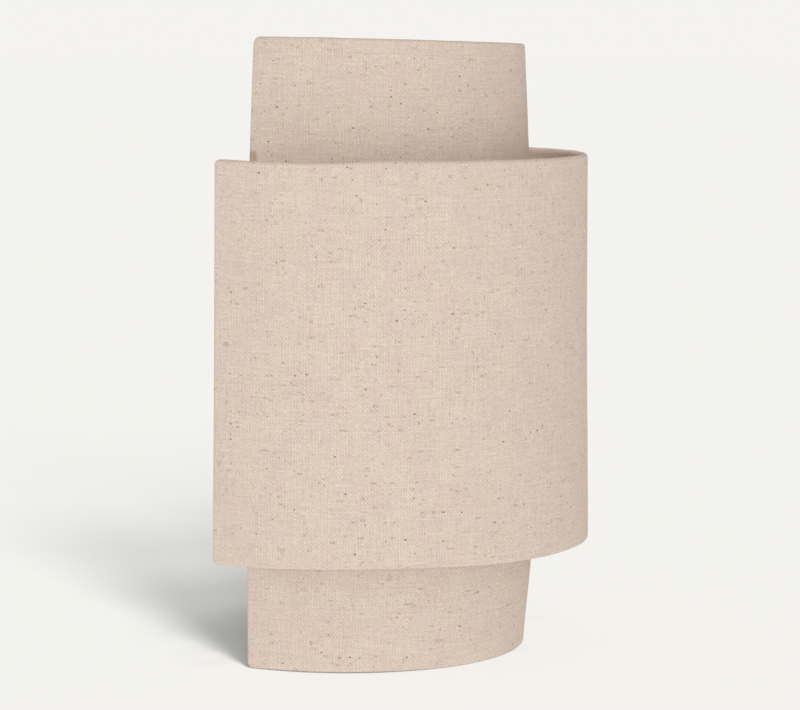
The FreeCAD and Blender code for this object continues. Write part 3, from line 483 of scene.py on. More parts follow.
@dataclass(frozen=True)
class Linen:
    """Natural linen with slubs, flecks and blotches, drawn in the cloth's own flat coordinates.

    Attributes:
        name: the material's name.
        weave: its weave.
        colour: the main tone of its fibre.
        rosy: a second tone, in large blotches.
        lilac: a third, in smaller ones.
        lilac_cells: patches of the third to a millimetre.
        lilac_share: how strong the third is.
        thread_gap_shade: painted shade in the recesses between the threads.
        thread_gap_shade_depth: how dark that painted shade is.
        slub_colour: a dark stretch of weft thread.
        slub_depth: how dark it is.
        grain: strength of the fine grain.
        grain_cells: its cells to a millimetre, across and up.
        mottle: strength of the mottle, a few threads wide.
        mottle_cells: its cells to a millimetre.
        blotch: strength of the large blotches.
        blotch_cells: their cells to a millimetre.
        thick_pale: how much paler thick threads are.
        flecks: its kinds of flecks.
        relief: how far threads stand proud.
        matt: roughness in the gaps.
        painted_fold_light: painted light, how much paler the cloth is made where it faces the inside of the
            shade, the glued folds among it.
        glue_at: middle of the glue mark, in metres.
        glue_reach: radius of the glue mark, in metres.
        glue_cells: scale of its ragged edge.
        glue_ragged: how ragged that is.
        glue_tint: what the glue leaves of each colour.
    """

    name: str = "natural_linen"
    weave: Weave = Weave()
    colour: Colour = (0.654, 0.549, 0.457)
    rosy: Colour = (0.658, 0.540, 0.462)
    lilac: Colour = (0.626, 0.548, 0.500)
    lilac_cells: float = 0.07
    lilac_share: float = 0.28
    thread_gap_shade: Colour = (0.42, 0.320, 0.248)
    thread_gap_shade_depth: float = 0.47
    slub_colour: Colour = (0.27, 0.20, 0.145)
    slub_depth: float = 0.60
    grain: float = 0.35
    grain_cells: tuple[float, float] = (0.52, 0.85)
    mottle: float = 0.24
    mottle_cells: float = 0.40
    blotch: float = 0.10
    blotch_cells: float = 0.045
    thick_pale: float = 0.06
    flecks: tuple[Flecks, ...] = (
        Flecks((0.16, 0.095, 0.055), 0.17, 0.20, 0.22, 0.76),
        Flecks((0.22, 0.15, 0.10), 0.42, 0.24, 0.36, 0.50),
        Flecks((0.36, 0.33, 0.10), 0.060, 0.060, 0.45, 0.75),
        Flecks((0.45, 0.17, 0.12), 0.047, 0.050, 0.45, 0.65))
    relief: float = 0.13
    matt: float = 0.94
    painted_fold_light: float = 0.28
    glue_at: tuple[float, float, float] = (-0.1126, -0.0032, 0.1203)
    glue_reach: float = 0.0050
    glue_cells: float = 420.0
    glue_ragged: float = 0.9
    glue_tint: Colour = (0.74, 0.65, 0.54)

    def build(self) -> bpy.types.Material:
        """Make the material.

        Returns:
            The material.
        """
        g, weave = Graph.of_material(self.name), self.weave
        across, up, _ = g.parts(g.add("ShaderNodeUVMap", {"uv_map": CLOTH_MAP}).outputs[0])
        across, up = across * PER_METRE, up * PER_METRE
        flat = g.vector(across, up)
        warp, weft = weave.threads(g, across, up)
        over = weave.warp_on_top(g, flat, warp, weft)
        under = 1 - over
        warp_wave, weft_wave = (warp * math.pi).sine(), (weft * math.pi).sine()
        height = weave.crown(warp_wave, over).larger(weave.crown(weft_wave, under))
        slub = weave.along_weft(g, across, weft, cells=0.17, jump=3.71, layer=15.0, detail=2.0, rough=0.6)
        thick = weave.along_weft(g, across, weft, cells=0.11, jump=2.93, layer=27.0).step(0.68, 0.76)
        grain_place = g.vector(across * self.grain_cells[0], up * self.grain_cells[1])
        grain = g.cloud(grain_place, detail=3.0, rough=0.7).centred()
        mottle = g.cloud(flat, self.mottle_cells, rough=0.6).centred()
        blotch = g.cloud(flat, self.blotch_cells, 3.0, 0.55)
        light = 1 + over * weave.warp_pale - under * weave.weft_dark
        light = light + weave.tone(g, across, up, warp, weft, over) * weave.tones
        light = light + warp_wave * weave.warp_lit + weft_wave * weave.weft_lit
        light = light + grain * self.grain + mottle * self.mottle
        light = light + blotch.centred() * self.blotch + thick * self.thick_pale
        cloth = g.mix(blotch.step(0.38, 0.68), self.rosy, self.colour)
        cloth = g.mix(g.cloud(flat, self.lilac_cells).step(0.56, 0.70) * self.lilac_share, cloth, self.lilac)
        # painted shade: the cloth darkens where the threads lie low, in the recesses between them
        cloth = g.mix((1 - height).power(1.6) * self.thread_gap_shade_depth, cloth, self.thread_gap_shade)
        cloth = g.shade(cloth, light)
        dash = slub.step(0.60, 0.72) * (under * 0.75 + 0.25)
        cloth = g.mix(dash * self.slub_depth, cloth, self.slub_colour)
        for kind in self.flecks:
            cloth = g.mix(kind.mask(g, flat), cloth, kind.colour)
        cloth = g.mix(self._glue(g), cloth, self.glue_tint, "MULTIPLY")
        # painted light: cloth facing the inside of the shade, the rims' folds among it, is made paler to
        # stand in for light reaching it
        cloth = g.shade(cloth, 1 + self._inside(g) * self.painted_fold_light)
        bumps = height + grain * 0.8 + thick * 0.8
        return g.finish({"Base Color": cloth, "Roughness": self.matt - height * 0.08,
                         "Normal": g.bump(bumps, self.relief, 0.8), "Specular IOR Level": 0.05})

    def _glue(self, g: Graph) -> Value:
        """The ragged patch that glue has soaked at the inner tier's left edge, above the outer rim.

        Args:
            g: the graph.

        Returns:
            1 in the patch.
        """
        away = g.vector_math("SUBTRACT", g.place(), self.glue_at).outputs[0]
        far = Value(g, g.vector_math("LENGTH", away).outputs["Value"])
        ragged = 1 + g.cloud(g.place(), self.glue_cells).centred() * self.glue_ragged
        return (far * ragged * (1 / self.glue_reach)).step(1.0, 0.45)

    @staticmethod
    def _inside(g: Graph) -> Value:
        """Where the cloth faces the inside of the shade, as the glued folds do; painted light is laid there.

        Args:
            g: the graph.

        Returns:
            1 on the inside.
        """
        x, y, _ = g.parts(g.place())
        facing = g.add("ShaderNodeTexCoord").outputs["Normal"]
        outward = g.vector_math("DOT_PRODUCT", facing, g.vector(x, y)).outputs["Value"]
        return Value(g, outward).step(-0.02, -0.08)


@dataclass(frozen=True)
class Board:
    """Stiff matt sheet behind the linen, with paper fibres and faint warmth.

    Attributes:
        name: the material's name.
        colour: its main tone.
        warm: the tone of its stains.
        fibre_scale: scale of its fibres.
        grid_scale: scale of the finer texture over them.
        stain_scale: scale of the stains.
        matt: its least roughness.
        relief: how far the fibres stand proud.
    """

    name: str = "liner_board"
    colour: Colour = (0.83, 0.81, 0.77)
    warm: Colour = (0.78, 0.73, 0.65)
    fibre_scale: float = 900.0
    grid_scale: float = 2600.0
    stain_scale: float = 22.0
    matt: float = 0.72
    relief: float = 0.06

    def build(self) -> bpy.types.Material:
        """Make the material.

        Returns:
            The material.
        """
        g = Graph.of_material(self.name)
        point = g.place()
        fibre = g.cloud(point, self.fibre_scale, 3.0, 0.6)
        stain = g.cloud(point, self.stain_scale, 3.0, 0.55)
        grid = g.cloud(point, self.grid_scale, 1.0)
        body = g.mix(stain.step(0.42, 0.72) * 0.35, self.colour, self.warm)
        colour = g.shade(body, 1 + fibre.centred() * 0.10 + grid.centred() * 0.06)
        return g.finish({"Base Color": colour, "Roughness": self.matt + stain * 0.2,
                         "Normal": g.bump(fibre + grid * 0.5, self.relief, 0.6), "Specular IOR Level": 0.25})


@dataclass(frozen=True)
class PowderCoat:
    """Baked coat over steel, with orange peel and small chips.

    Attributes:
        name: the material's name.
        colour: the coat's colour.
        peel_scale: scale of the orange peel.
        gloss: roughness of the sound coat.
        chips_from: noise above which the coat has chipped off.
        steel: the colour under the coat.
        relief: how far the peel stands proud.
    """

    name: str
    colour: Colour
    peel_scale: float = 900.0
    gloss: float = 0.36
    chips_from: float = 0.72
    steel: Colour = (0.33, 0.31, 0.29)
    relief: float = 0.05

    def build(self) -> bpy.types.Material:
        """Make the material.

        Returns:
            The material.
        """
        g = Graph.of_material(self.name)
        point = g.place()
        peel = g.cloud(point, self.peel_scale)
        cloudy = g.cloud(point, 38.0, 3.0)
        chip = g.cloud(point, 420.0, 3.0, 0.7) * 0.7 + g.cloud(point, 60.0, 1.0) * 0.3
        bare = chip.step(self.chips_from, self.chips_from + 0.02)
        coat = g.shade(self.colour, 1 + cloudy.centred() * 0.09 + peel.centred() * 0.04)
        return g.finish({"Base Color": g.mix(bare, coat, self.steel), "Metallic": bare * 0.7,
                         "Roughness": self.gloss + cloudy.centred() * 0.16 + bare * 0.2,
                         "Normal": g.bump(peel - bare, self.relief, 0.7)})


@dataclass(frozen=True)
class PlatedMetal:
    """Plated or bare metal with fine tool lines, stains and soft scratches.

    Attributes:
        name: the material's name.
        colour: the clean metal.
        stain: its stains.
        gloss: its usual roughness.
        line_scale: tool lines along Z.
        stain_scale: scale of the stains.
        relief: how far the lines stand proud.
    """

    name: str
    colour: Colour
    stain: Colour
    gloss: float = 0.28
    line_scale: float = 1600.0
    stain_scale: float = 140.0
    relief: float = 0.03

    def build(self) -> bpy.types.Material:
        """Make the material.

        Returns:
            The material.
        """
        g = Graph.of_material(self.name)
        point = g.place()
        x, y, z = g.parts(point)
        tool = g.cloud(g.vector(x * 90, y * 90, z * self.line_scale))
        patch = g.cloud(point, self.stain_scale, 3.0, 0.6)
        scratch = g.cloud(g.vector(x * 2400, y * 2400, z * 160), detail=1.0).step(0.66, 0.72)
        body = g.mix(patch.step(0.45, 0.72) * 0.6, self.colour, self.stain)
        colour = g.shade(body, 1 + tool.centred() * 0.16 - scratch * 0.06)
        return g.finish({"Base Color": colour, "Metallic": 1.0,
                         "Roughness": self.gloss + patch.centred() * 0.24 + tool.centred() * 0.12,
                         "Normal": g.bump(tool - scratch * 0.4, self.relief, 0.6)})


@dataclass(frozen=True)
class Moulded:
    """Moulded plastic or rubber with a spark-eroded grain, faint flow marks and dust.

    Attributes:
        name: the material's name.
        colour: its colour.
        grain_scale: scale of the grain.
        gloss: its usual roughness.
        relief: how far the grain stands proud.
        coat: how much of it is glossy on top.
        soft: how far light spreads inside it.
    """

    name: str
    colour: Colour
    grain_scale: float
    gloss: float
    relief: float
    coat: float = 0.0
    soft: float = 0.0

    def build(self) -> bpy.types.Material:
        """Make the material.

        Returns:
            The material.
        """
        g = Graph.of_material(self.name)
        point = g.place()
        _, _, z = g.parts(point)
        grain = g.cloud(point, self.grain_scale)
        flow = g.cloud(point, 45.0, 3.0)
        dust = g.cloud(point, 260.0, 4.0, 0.7).step(0.58, 0.80)
        marks = ((z * 1500 + flow * 6).sine() * 0.5 + 0.5) * 0.02
        light = 1 + flow.centred() * 0.08 + marks - dust * 0.05 + grain.centred() * 0.05
        return g.finish({"Base Color": g.shade(self.colour, light),
                         "Roughness": self.gloss + flow.centred() * 0.12 + dust * 0.14,
                         "Normal": g.bump(grain, self.relief, 0.7), "Coat Weight": self.coat,
                         "Coat Roughness": 0.12, "Subsurface Weight": self.soft, "Subsurface Scale": 0.004})


@dataclass(frozen=True)
class Porcelain:
    """Fired white body under a clear glaze, with pinholes.

    Attributes:
        name: the material's name.
        colour: the glazed body.
        pin_colour: the body in a pinhole.
        wave_scale: scale of the glaze's waves.
        pin_scale: scale of the pinholes.
        relief: how far the waves stand proud.
    """

    name: str = "glazed_porcelain"
    colour: Colour = (0.82, 0.80, 0.75)
    pin_colour: Colour = (0.36, 0.31, 0.25)
    wave_scale: float = 160.0
    pin_scale: float = 1500.0
    relief: float = 0.08

    def build(self) -> bpy.types.Material:
        """Make the material.

        Returns:
            The material.
        """
        g = Graph.of_material(self.name)
        point = g.place()
        wave = g.cloud(point, self.wave_scale)
        pin = g.cloud(point, self.pin_scale, 1.0).step(0.74, 0.80)
        colour = g.mix(pin * 0.5, g.shade(self.colour, 1 + wave.centred() * 0.08), self.pin_colour)
        return g.finish({"Base Color": colour, "Roughness": 0.16 + wave * 0.14,
                         "Normal": g.bump(wave - pin, self.relief, 0.6),
                         "Coat Weight": 0.4, "Coat Roughness": 0.05})


@dataclass(frozen=True)
class Sheath:
    """Drawn insulation with faint extrusion lines.

    Attributes:
        name: the material's name.
        colour: its colour.
        stripe: a second colour that runs along it on one side.
        relief: how far the lines stand proud.
    """

    name: str
    colour: Colour
    stripe: Colour | None = None
    relief: float = 0.03

    def build(self) -> bpy.types.Material:
        """Make the material.

        Returns:
            The material.
        """
        g = Graph.of_material(self.name)
        point = g.place()
        x, _, z = g.parts(point)
        draw = g.cloud(g.vector(x * 5000, z * 300), detail=1.0)
        scuff = g.cloud(point, 500.0, 3.0)
        body: Any = self.colour
        if self.stripe is not None:
            side = (x * PER_METRE + (z * 260).sine() * 0.08).step(-0.06, 0.06)
            body = g.mix(side, self.colour, self.stripe)
        colour = g.shade(body, 1 + draw.centred() * 0.12 + scuff.centred() * 0.16)
        return g.finish({"Base Color": colour, "Roughness": 0.34 + scuff * 0.2,
                         "Normal": g.bump(draw + scuff * 0.5, self.relief, 0.6)})


class Finishes:
    """Every finish of the light, by its slot."""

    def __init__(self) -> None:
        """Make the materials."""
        white, paint = (0.80, 0.79, 0.76), (0.80, 0.79, 0.77)
        self.by_slot: dict[Slot, bpy.types.Material] = {slot: finish.build() for slot, finish in {
            Slot.LINEN: Linen(),
            Slot.LINER: Board(),
            Slot.FRAME_WIRE: PowderCoat("frame_powder_coat", white, peel_scale=1100.0),
            Slot.PLATE: PowderCoat("plate_paint", paint, peel_scale=700.0, gloss=0.42),
            Slot.ZINC: PlatedMetal("bright_zinc", (0.62, 0.62, 0.60), (0.52, 0.50, 0.44), 0.30),
            Slot.BRASS: PlatedMetal("turned_brass", (0.78, 0.57, 0.25), (0.50, 0.32, 0.12), 0.26),
            Slot.CAP_METAL: PlatedMetal("lamp_cap_metal", (0.72, 0.72, 0.70), (0.60, 0.59, 0.55), 0.24),
            Slot.RUBBER: Moulded("soft_black_bush", (0.05, 0.05, 0.05), 1300.0, 0.70, 0.06),
            Slot.MOULDING: Moulded("block_moulding", (0.78, 0.77, 0.73), 1500.0, 0.46, 0.04),
            Slot.HOLDER: Moulded("holder_moulding", (0.80, 0.79, 0.75), 1900.0, 0.38, 0.03, coat=0.15),
            Slot.PORCELAIN: Porcelain(),
            Slot.BLACK_GLASS: Moulded("black_lamp_glass", (0.03, 0.03, 0.03), 700.0, 0.14, 0.02, coat=0.5),
            Slot.LAMP_HOUSING: Moulded("lamp_housing", (0.84, 0.84, 0.82), 2400.0, 0.30, 0.02, 0.2, 0.05),
            Slot.DIFFUSER: Moulded("frosted_diffuser", (0.90, 0.89, 0.86), 3200.0, 0.48, 0.03, soft=0.25),
            Slot.BROWN_WIRE: Sheath("brown_sheath", (0.20, 0.09, 0.04)),
            Slot.BLUE_WIRE: Sheath("blue_sheath", (0.05, 0.20, 0.55)),
            Slot.EARTH_WIRE_SKIN: Sheath("earth_sheath", (0.10, 0.36, 0.10), (0.72, 0.62, 0.05)),
        }.items()}

    def dress(self, slot: Slot, piece: Piece) -> None:
        """Give a piece, or a node of the frame, its finish.

        Args:
            slot: the finish's slot.
            piece: the piece or node.
        """
        if not piece.material_slots:
            piece.data.materials.append(self.by_slot[slot])
        for holder in piece.material_slots:
            holder.material = self.by_slot[slot]

    def hang(self, piece: Piece, slot: Slot, nodes: Sequence[str] = ()) -> None:
        """Dress a new piece and let it ride on the shade.

        Args:
            piece: the piece.
            slot: the finish's slot.
            nodes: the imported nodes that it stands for.
        """
        self.dress(slot, piece)
        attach(piece, Body.SHADE.value)
        if nodes:
            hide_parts(*nodes)
        LOG.info("%s: %d faces", piece.name, len(piece.data.polygons))


# ---- mesh building ---------------------------------------------------------------------------


def spread(low: float, high: float, pitch: float, extra: Iterable[float] = ()) -> list[float]:
    """Places along a line, closer together where extra ones are given.

    Args:
        low: the first place.
        high: the last place.
        pitch: the usual distance.
        extra: places that have to be there.

    Returns:
        The places in order.
    """
    fixed = sorted({round(place, 4) for place in [low, high, *extra] if low <= place <= high})
    places: list[float] = []
    for first, second in zip(fixed, fixed[1:]):
        steps = max(1, round((second - first) / pitch))
        places += [first + (second - first) * step / steps for step in range(steps)]
    return places + [fixed[-1]]


def along(line: Line, place: float) -> float:
    """The height of a smooth line at a place.

    Args:
        line: its points, as places in rising order with their heights.
        place: where it is read; outside the line, its nearer end counts.

    Returns:
        The height.
    """
    place = min(max(place, line[0][0]), line[-1][0])
    first = max(index for index in range(len(line) - 1) if line[index][0] <= place)
    (start, low), (end, high) = line[first], line[first + 1]
    before, after = line[max(first - 1, 0)], line[min(first + 2, len(line) - 1)]
    leave = (high - before[1]) / (end - before[0]) * (end - start)
    reach = (after[1] - low) / (after[0] - start) * (end - start)
    share = (place - start) / (end - start)
    bend = share * share * (3 - 2 * share)
    return (low + (high - low) * bend + leave * share * (1 - share) ** 2
            - reach * share * share * (1 - share))


def grid_faces(wide: int, tall: int) -> list[tuple[int, ...]]:
    """The faces of a sheet whose corners are numbered row by row."""
    corners = [row * wide + column for row in range(tall - 1) for column in range(wide - 1)]
    return [(corner, corner + 1, corner + wide + 1, corner + wide) for corner in corners]


def tube_faces(start: int, rings: int, sides: int, closed: bool = False) -> list[tuple[int, ...]]:
    """The faces round a tube whose corners are numbered ring by ring.

    Args:
        start: number of its first corner.
        rings: rings along the tube.
        sides: corners in a ring.
        closed: whether the last ring joins the first.

    Returns:
        The faces.
    """
    faces: list[tuple[int, ...]] = []
    for ring in range(rings if closed else rings - 1):
        near, far = start + ring * sides, start + (ring + 1) % rings * sides
        for side in range(sides):
            after = (side + 1) % sides
            faces.append((near + side, near + after, far + after, far + side))
    return faces


def mesh_piece(name: str, points: Sequence[Vector], faces: Sequence[Sequence[int]],
               flat: Sequence[tuple[float, float]] | None = None) -> Piece:
    """A smooth mesh object.

    Args:
        name: the piece's name.
        points: its corners, in metres.
        faces: its faces.
        flat: each corner's place on the flat cloth, in metres.

    Returns:
        The object.
    """
    mesh = bpy.data.meshes.new(name)
    mesh.from_pydata([tuple(point) for point in points], [], [tuple(face) for face in faces])
    mesh.shade_smooth()
    if flat is not None:
        layer = mesh.uv_layers.new(name=CLOTH_MAP)
        for corner in mesh.loops:
            layer.data[corner.index].uv = flat[corner.vertex_index]
    piece = bpy.data.objects.new(name, mesh)
    bpy.context.scene.collection.objects.link(piece)
    return piece


def thicken(piece: Piece, thickness: float) -> Piece:
    """Give a sheet its thickness behind its face.

    Args:
        piece: the sheet.
        thickness: the thickness, in millimetres.

    Returns:
        The same piece, as plain mesh.
    """
    skin = piece.modifiers.new("thickness", "SOLIDIFY")
    skin.thickness = thickness * MM
    skin.offset = -1
    bpy.context.view_layer.update()
    made = bpy.data.meshes.new_from_object(piece.evaluated_get(bpy.context.evaluated_depsgraph_get()))
    piece.modifiers.clear()
    piece.data = made
    return piece


@dataclass
class Rods:
    """Round rods that make one piece.

    Attributes:
        sides: corners round a rod.
        points: the corners of all rods so far.
        faces: their faces.
    """

    sides: int = 12
    points: list[Vector] = field(default_factory=list)
    faces: list[tuple[int, ...]] = field(default_factory=list)

    def add(self, line: Sequence[Vector], radius: float) -> None:
        """Add a rod with closed ends.

        Args:
            line: its middle line, in metres, without sharp bends.
            radius: its radius, in millimetres.
        """
        start = len(self.points)
        for index, spot in enumerate(line):
            way = (line[min(index + 1, len(line) - 1)] - line[max(index - 1, 0)]).normalized()
            side = way.orthogonal().normalized() if index == 0 else (side - way * side.dot(way)).normalized()
            other = way.cross(side)
            for step in range(self.sides):
                angle = math.tau * step / self.sides
                self.points.append(spot + (side * math.cos(angle) + other * math.sin(angle)) * radius * MM)
        last = start + (len(line) - 1) * self.sides
        self.faces += tube_faces(start, len(line), self.sides)
        self.faces.append(tuple(start + step for step in reversed(range(self.sides))))
        self.faces.append(tuple(last + step for step in range(self.sides)))

    def add_straight(self, start: Vector, end: Vector, lengths: int, radius: float) -> None:
        """Add a straight rod, cut into so many lengths, between two points in metres."""
        self.add([start.lerp(end, part / lengths) for part in range(lengths + 1)], radius)

    def piece(self, name: str) -> Piece:
        """The rods as one object of that name."""
        return mesh_piece(name, self.points, self.faces)


# ---- shade -----------------------------------------------------------------------------------

BAR_UP = 100.0  # height of the hanging bars and spokes above and below the middle
ALMOST = 1e-6
# Each kind of unevenness keeps to its own layers of the noise, so many to a tier.
LARGE_LAYER, SMALL_LAYER, RIM_LAYER = 3.7, 5.1, 4.3
TOP_RIM, BOTTOM_RIM = 2.3, 8.9


class Wrap(NamedTuple):
    """One step of the cloth's way round the wire at the panel's edge.

    Attributes:
        rim_in: distance in from a rim.
        side_in: distance in from a straight side.
        depth: distance behind the face.
        gone: length of cloth used so far.
    """

    rim_in: float
    side_in: float
    depth: float
    gone: float


@dataclass
class Tier:
    """One half-round tier: linen wrapped over a bent wire frame, with a stiff liner behind it.

    Attributes:
        word: the tier's name.
        waist_radius: radius at the middle of its height.
        tall: its height.
        half_widths: half its width, by height.
        bellies: how much deeper than round it stands, by height.
        top_line: rise of its upper rim, by degrees from the front.
        bottom_line: rise of its lower rim, by degrees from the front.
        lifted: how far it sits above its nominal height.
        lean: how far it leans to the right, as a slope.
        corner_top: radius of its upper corners.
        corner_bottom: radius of its lower corners.
        seed: what makes its unevenness its own.
        snips: heights at which the side folds are snipped round a bar.
        wall_gap: distance from its straight sides to the wall.
        roll: how far the rolled edge reaches in along the face.
        roll_depth: half the depth of the rolled edge.
        linen: thickness of the linen.
        liner: thickness of the liner.
        liner_gap: glue between linen and liner.
        liner_inset: distance from the rolled edge to the liner.
        rim_wire: diameter of the wire at its edges.
        rib_wire: diameter of its ribs.
        wire_depth: depth of the wires' middle behind the face.
        wire_sides: sides of the wire's round section.
        rim_fold: how far in the folds at the rims reach.
        side_fold: how far in the folds at the sides reach.
        fold_depth: depth at which the folds are glued down.
        fold_lands: share of a fold's width at which it reaches that depth.
        fold_parts: where the folds have rows of corners.
        roll_steps: rows of corners round the rolled edge.
        snip_fold: how far in a side fold reaches at a snip.
        snip_half: half the height of a snip.
        rib_turns: where the ribs stand, in degrees from the front.
        rib_rise: how far a rib lifts the fold.
        rib_reach: distance from a rib at which the fold starts to rise.
        rib_slope: width of that rise.
        rib_ease: shape of that rise.
        rib_clear: how far a fold has to leave the rolled edge before a rib lifts it.
        rib_step: length of the ribs' faces.
        rib_columns: extra columns of corners beside a rib.
        snip_rows: extra rows of corners beside a snip.
        corner_parts: extra columns and rows in a corner, as shares of it.
        least_bend: least radius of a folded corner.
        pitch: usual distance between corners.
        swell_tall: how far the face swells.
        swell_fade: distance from the sides over which it does not.
        swell_large: width and height of its large swellings.
        swell_small: width and height of its small ones.
        swell_share: height of the small ones, as a share.
        wave_from: share of the half height from which a rim's waves show.
        wave_span: share of the half height over which they grow.
        wave_fine: height of the rims' fine waves.
        wave_long: length of the rims' fine waves.
        half_wide: half the width of the flat panel.
    """

    word: str
    waist_radius: float
    tall: float
    half_widths: Line
    bellies: Line
    top_line: Line
    bottom_line: Line
    lifted: float
    lean: float
    corner_top: float
    corner_bottom: float
    seed: int
    snips: tuple[float, ...] = (-BAR_UP, BAR_UP)
    wall_gap: float = 0.3
    roll: float = 2.15
    roll_depth: float = 2.45
    linen: float = 0.6
    liner: float = 0.36
    liner_gap: float = 0.02
    liner_inset: float = 0.25
    rim_wire: float = 3.0
    rib_wire: float = 2.5
    wire_depth: float = 2.5
    wire_sides: int = 12
    rim_fold: float = 12.0
    side_fold: float = 11.0
    fold_depth: float = 1.7
    fold_lands: float = 0.6
    fold_parts: tuple[float, ...] = (0.12, 0.26, 0.42, 0.60, 0.80, 1.0)
    roll_steps: int = 10
    snip_fold: float = 3.6
    snip_half: float = 5.8
    rib_turns: tuple[float, ...] = (-45.0, 0.0, 45.0)
    rib_rise: float = 2.85
    rib_reach: float = 5.6
    rib_slope: float = 3.6
    rib_ease: float = 0.8
    rib_clear: float = 0.1
    rib_step: float = 12.0
    rib_columns: tuple[float, ...] = (-7, -5, -3.6, -2.4, -1.2, 0, 1.2, 2.4, 3.6, 5, 7)
    snip_rows: tuple[float, ...] = (-6.5, -5.5, -4.5, 4.5, 5.5, 6.5)
    corner_parts: tuple[float, ...] = (1.0, 0.75, 0.5, 0.25)
    least_bend: float = 0.25
    pitch: float = 4.0
    swell_tall: float = 0.28
    swell_fade: float = 25.0
    swell_large: tuple[float, float] = (55.0, 70.0)
    swell_small: tuple[float, float] = (19.0, 23.0)
    swell_share: float = 0.4
    wave_from: float = 0.70
    wave_span: float = 0.30
    wave_fine: float = 0.22
    wave_long: float = 13.0
    half_wide: float = field(init=False)

    def __post_init__(self) -> None:
        """Work out half the width of the flat panel."""
        self.half_wide = self.waist_radius * math.pi / 2 - self.wall_gap

    def swell(self, across: float, up: float) -> float:
        """How far the face stands proud of a true cylinder.

        Args:
            across: place across the flat panel.
            up: height on it.

        Returns:
            The distance.
        """
        edge = min(1.0, (self.half_wide - abs(across)) / self.swell_fade)
        (large_wide, large_tall), (small_wide, small_tall) = self.swell_large, self.swell_small
        lump = noise.noise(Vector((across / large_wide, up / large_tall, self.seed * LARGE_LAYER)))
        fine = noise.noise(Vector((across / small_wide, up / small_tall, self.seed * SMALL_LAYER)))
        lump += self.swell_share * fine
        return self.swell_tall * lump * max(0.0, edge)

    def wave(self, across: float, up: float) -> float:
        """How far a rim stands off its true level.

        Args:
            across: place across the flat panel.
            up: height on it.

        Returns:
            The rise, which fades towards the middle of the height.
        """
        near = min(1.0, max(0.0, abs(up) / (self.tall / 2) - self.wave_from) / self.wave_span)
        rim, line = (TOP_RIM, self.top_line) if up > 0 else (BOTTOM_RIM, self.bottom_line)
        bend = along(line, math.degrees(across / self.waist_radius))
        bend += self.wave_fine * noise.noise(Vector((across / self.wave_long, rim, self.seed * RIM_LAYER)))
        return bend * near * near

    def place(self, across: float, up: float, depth: float) -> Vector:
        """A point of the tier.

        Args:
            across: along the flat panel from the front's middle, at the waist.
            up: height.
            depth: distance behind the linen's face.

        Returns:
            The point, in metres.
        """
        turn = across / self.waist_radius
        out = along(self.half_widths, up) - depth + self.swell(across, up)
        right, high = out * math.sin(turn), up + self.lifted + self.wave(across, up)
        away = (out + along(self.bellies, up)) * math.cos(turn)
        return Vector((right + self.lean * up, -away, high - self.lean * right)) * MM

    def rib_places(self) -> list[float]:
        """Where the ribs stand along the flat panel."""
        return [math.radians(turn) * self.waist_radius for turn in self.rib_turns]

    def columns(self) -> list[float]:
        """Places of the cloth's corners across the panel.

        Returns:
            The places.
        """
        edge = self.half_wide - self.roll
        zone = max(self.corner_top, self.corner_bottom) - self.roll
        extra = [rib + step for rib in self.rib_places() for step in self.rib_columns]
        extra += [side * (edge - zone * part) for side in (-1, 1) for part in self.corner_parts]
        return spread(-edge, edge, self.pitch, extra)

    def rows(self) -> list[float]:
        """Heights of the cloth's corners.

        Returns:
            The heights.
        """
        edge = self.tall / 2 - self.roll
        extra = [snip + step for snip in self.snips for step in self.snip_rows]
        for side, corner in ((1, self.corner_top), (-1, self.corner_bottom)):
            extra += [side * (edge - (corner - self.roll) * part) for part in self.corner_parts]
        return spread(-edge, edge, self.pitch, extra)

    def rounded(self, across: float, up: float) -> tuple[float, float]:
        """A point of the grid, drawn in where the panel's corners are round.

        Args:
            across: its place across the panel.
            up: its height.

        Returns:
            The place and height drawn in.
        """
        zone = (self.corner_top if up > 0 else self.corner_bottom) - self.roll
        middle_across, middle_up = self.half_wide - self.roll - zone, self.tall / 2 - self.roll - zone
        x, z = (abs(across) - middle_across) / zone, (abs(up) - middle_up) / zone
        if x <= 0 or z <= 0:
            return across, up
        x, z = min(x, 1.0), min(z, 1.0)
        drawn = x * math.sqrt(1 - z * z / 2), z * math.sqrt(1 - x * x / 2)
        return (math.copysign(middle_across + zone * drawn[0], across),
                math.copysign(middle_up + zone * drawn[1], up))

    def edge_point(self, across: float, up: float, rim_in: float, side_in: float) -> tuple[float, float]:
        """A point of the grid's outline, moved to another distance from the panel's edge.

        Args:
            across: the outline point's place across the panel.
            up: its height.
            rim_in: the distance from a rim.
            side_in: the distance from a straight side.

        Returns:
            The moved place and height.
        """
        corner = self.corner_top if up > 0 else self.corner_bottom
        zone = corner - self.roll
        middle_across, middle_up = self.half_wide - corner, self.tall / 2 - corner
        bend = max(corner - (rim_in + side_in) / 2, self.least_bend)
        centre_across, centre_up = self.half_wide - side_in - bend, self.tall / 2 - rim_in - bend
        x, z = (abs(across) - middle_across) / zone, (abs(up) - middle_up) / zone
        if x > ALMOST and z > ALMOST:
            turn = math.atan2(z, x)
            moved = centre_across + bend * math.cos(turn), centre_up + bend * math.sin(turn)
        elif z > 1 - ALMOST:
            moved = min(abs(across), centre_across), self.tall / 2 - rim_in
        else:
            moved = self.half_wide - side_in, min(abs(up), centre_up)
        return math.copysign(moved[0], across), math.copysign(moved[1], up)

    def outward(self, across: float, up: float) -> Vector:
        """The way out of the panel at a point of its outline."""
        edge, roll = self.edge_point(across, up, 0.0, 0.0), self.edge_point(across, up, self.roll, self.roll)
        return (Vector(edge) - Vector(roll)).normalized()

    def over_rib(self, across: float) -> float:
        """Least depth of a fold, as it passes over a rib.

        Args:
            across: place across the panel.

        Returns:
            The depth.
        """
        near = min(abs(across - rib) for rib in self.rib_places())
        climbed = max(0.0, min(1.0, (self.rib_reach - near) / self.rib_slope))
        return self.fold_depth + self.rib_rise * climbed ** self.rib_ease

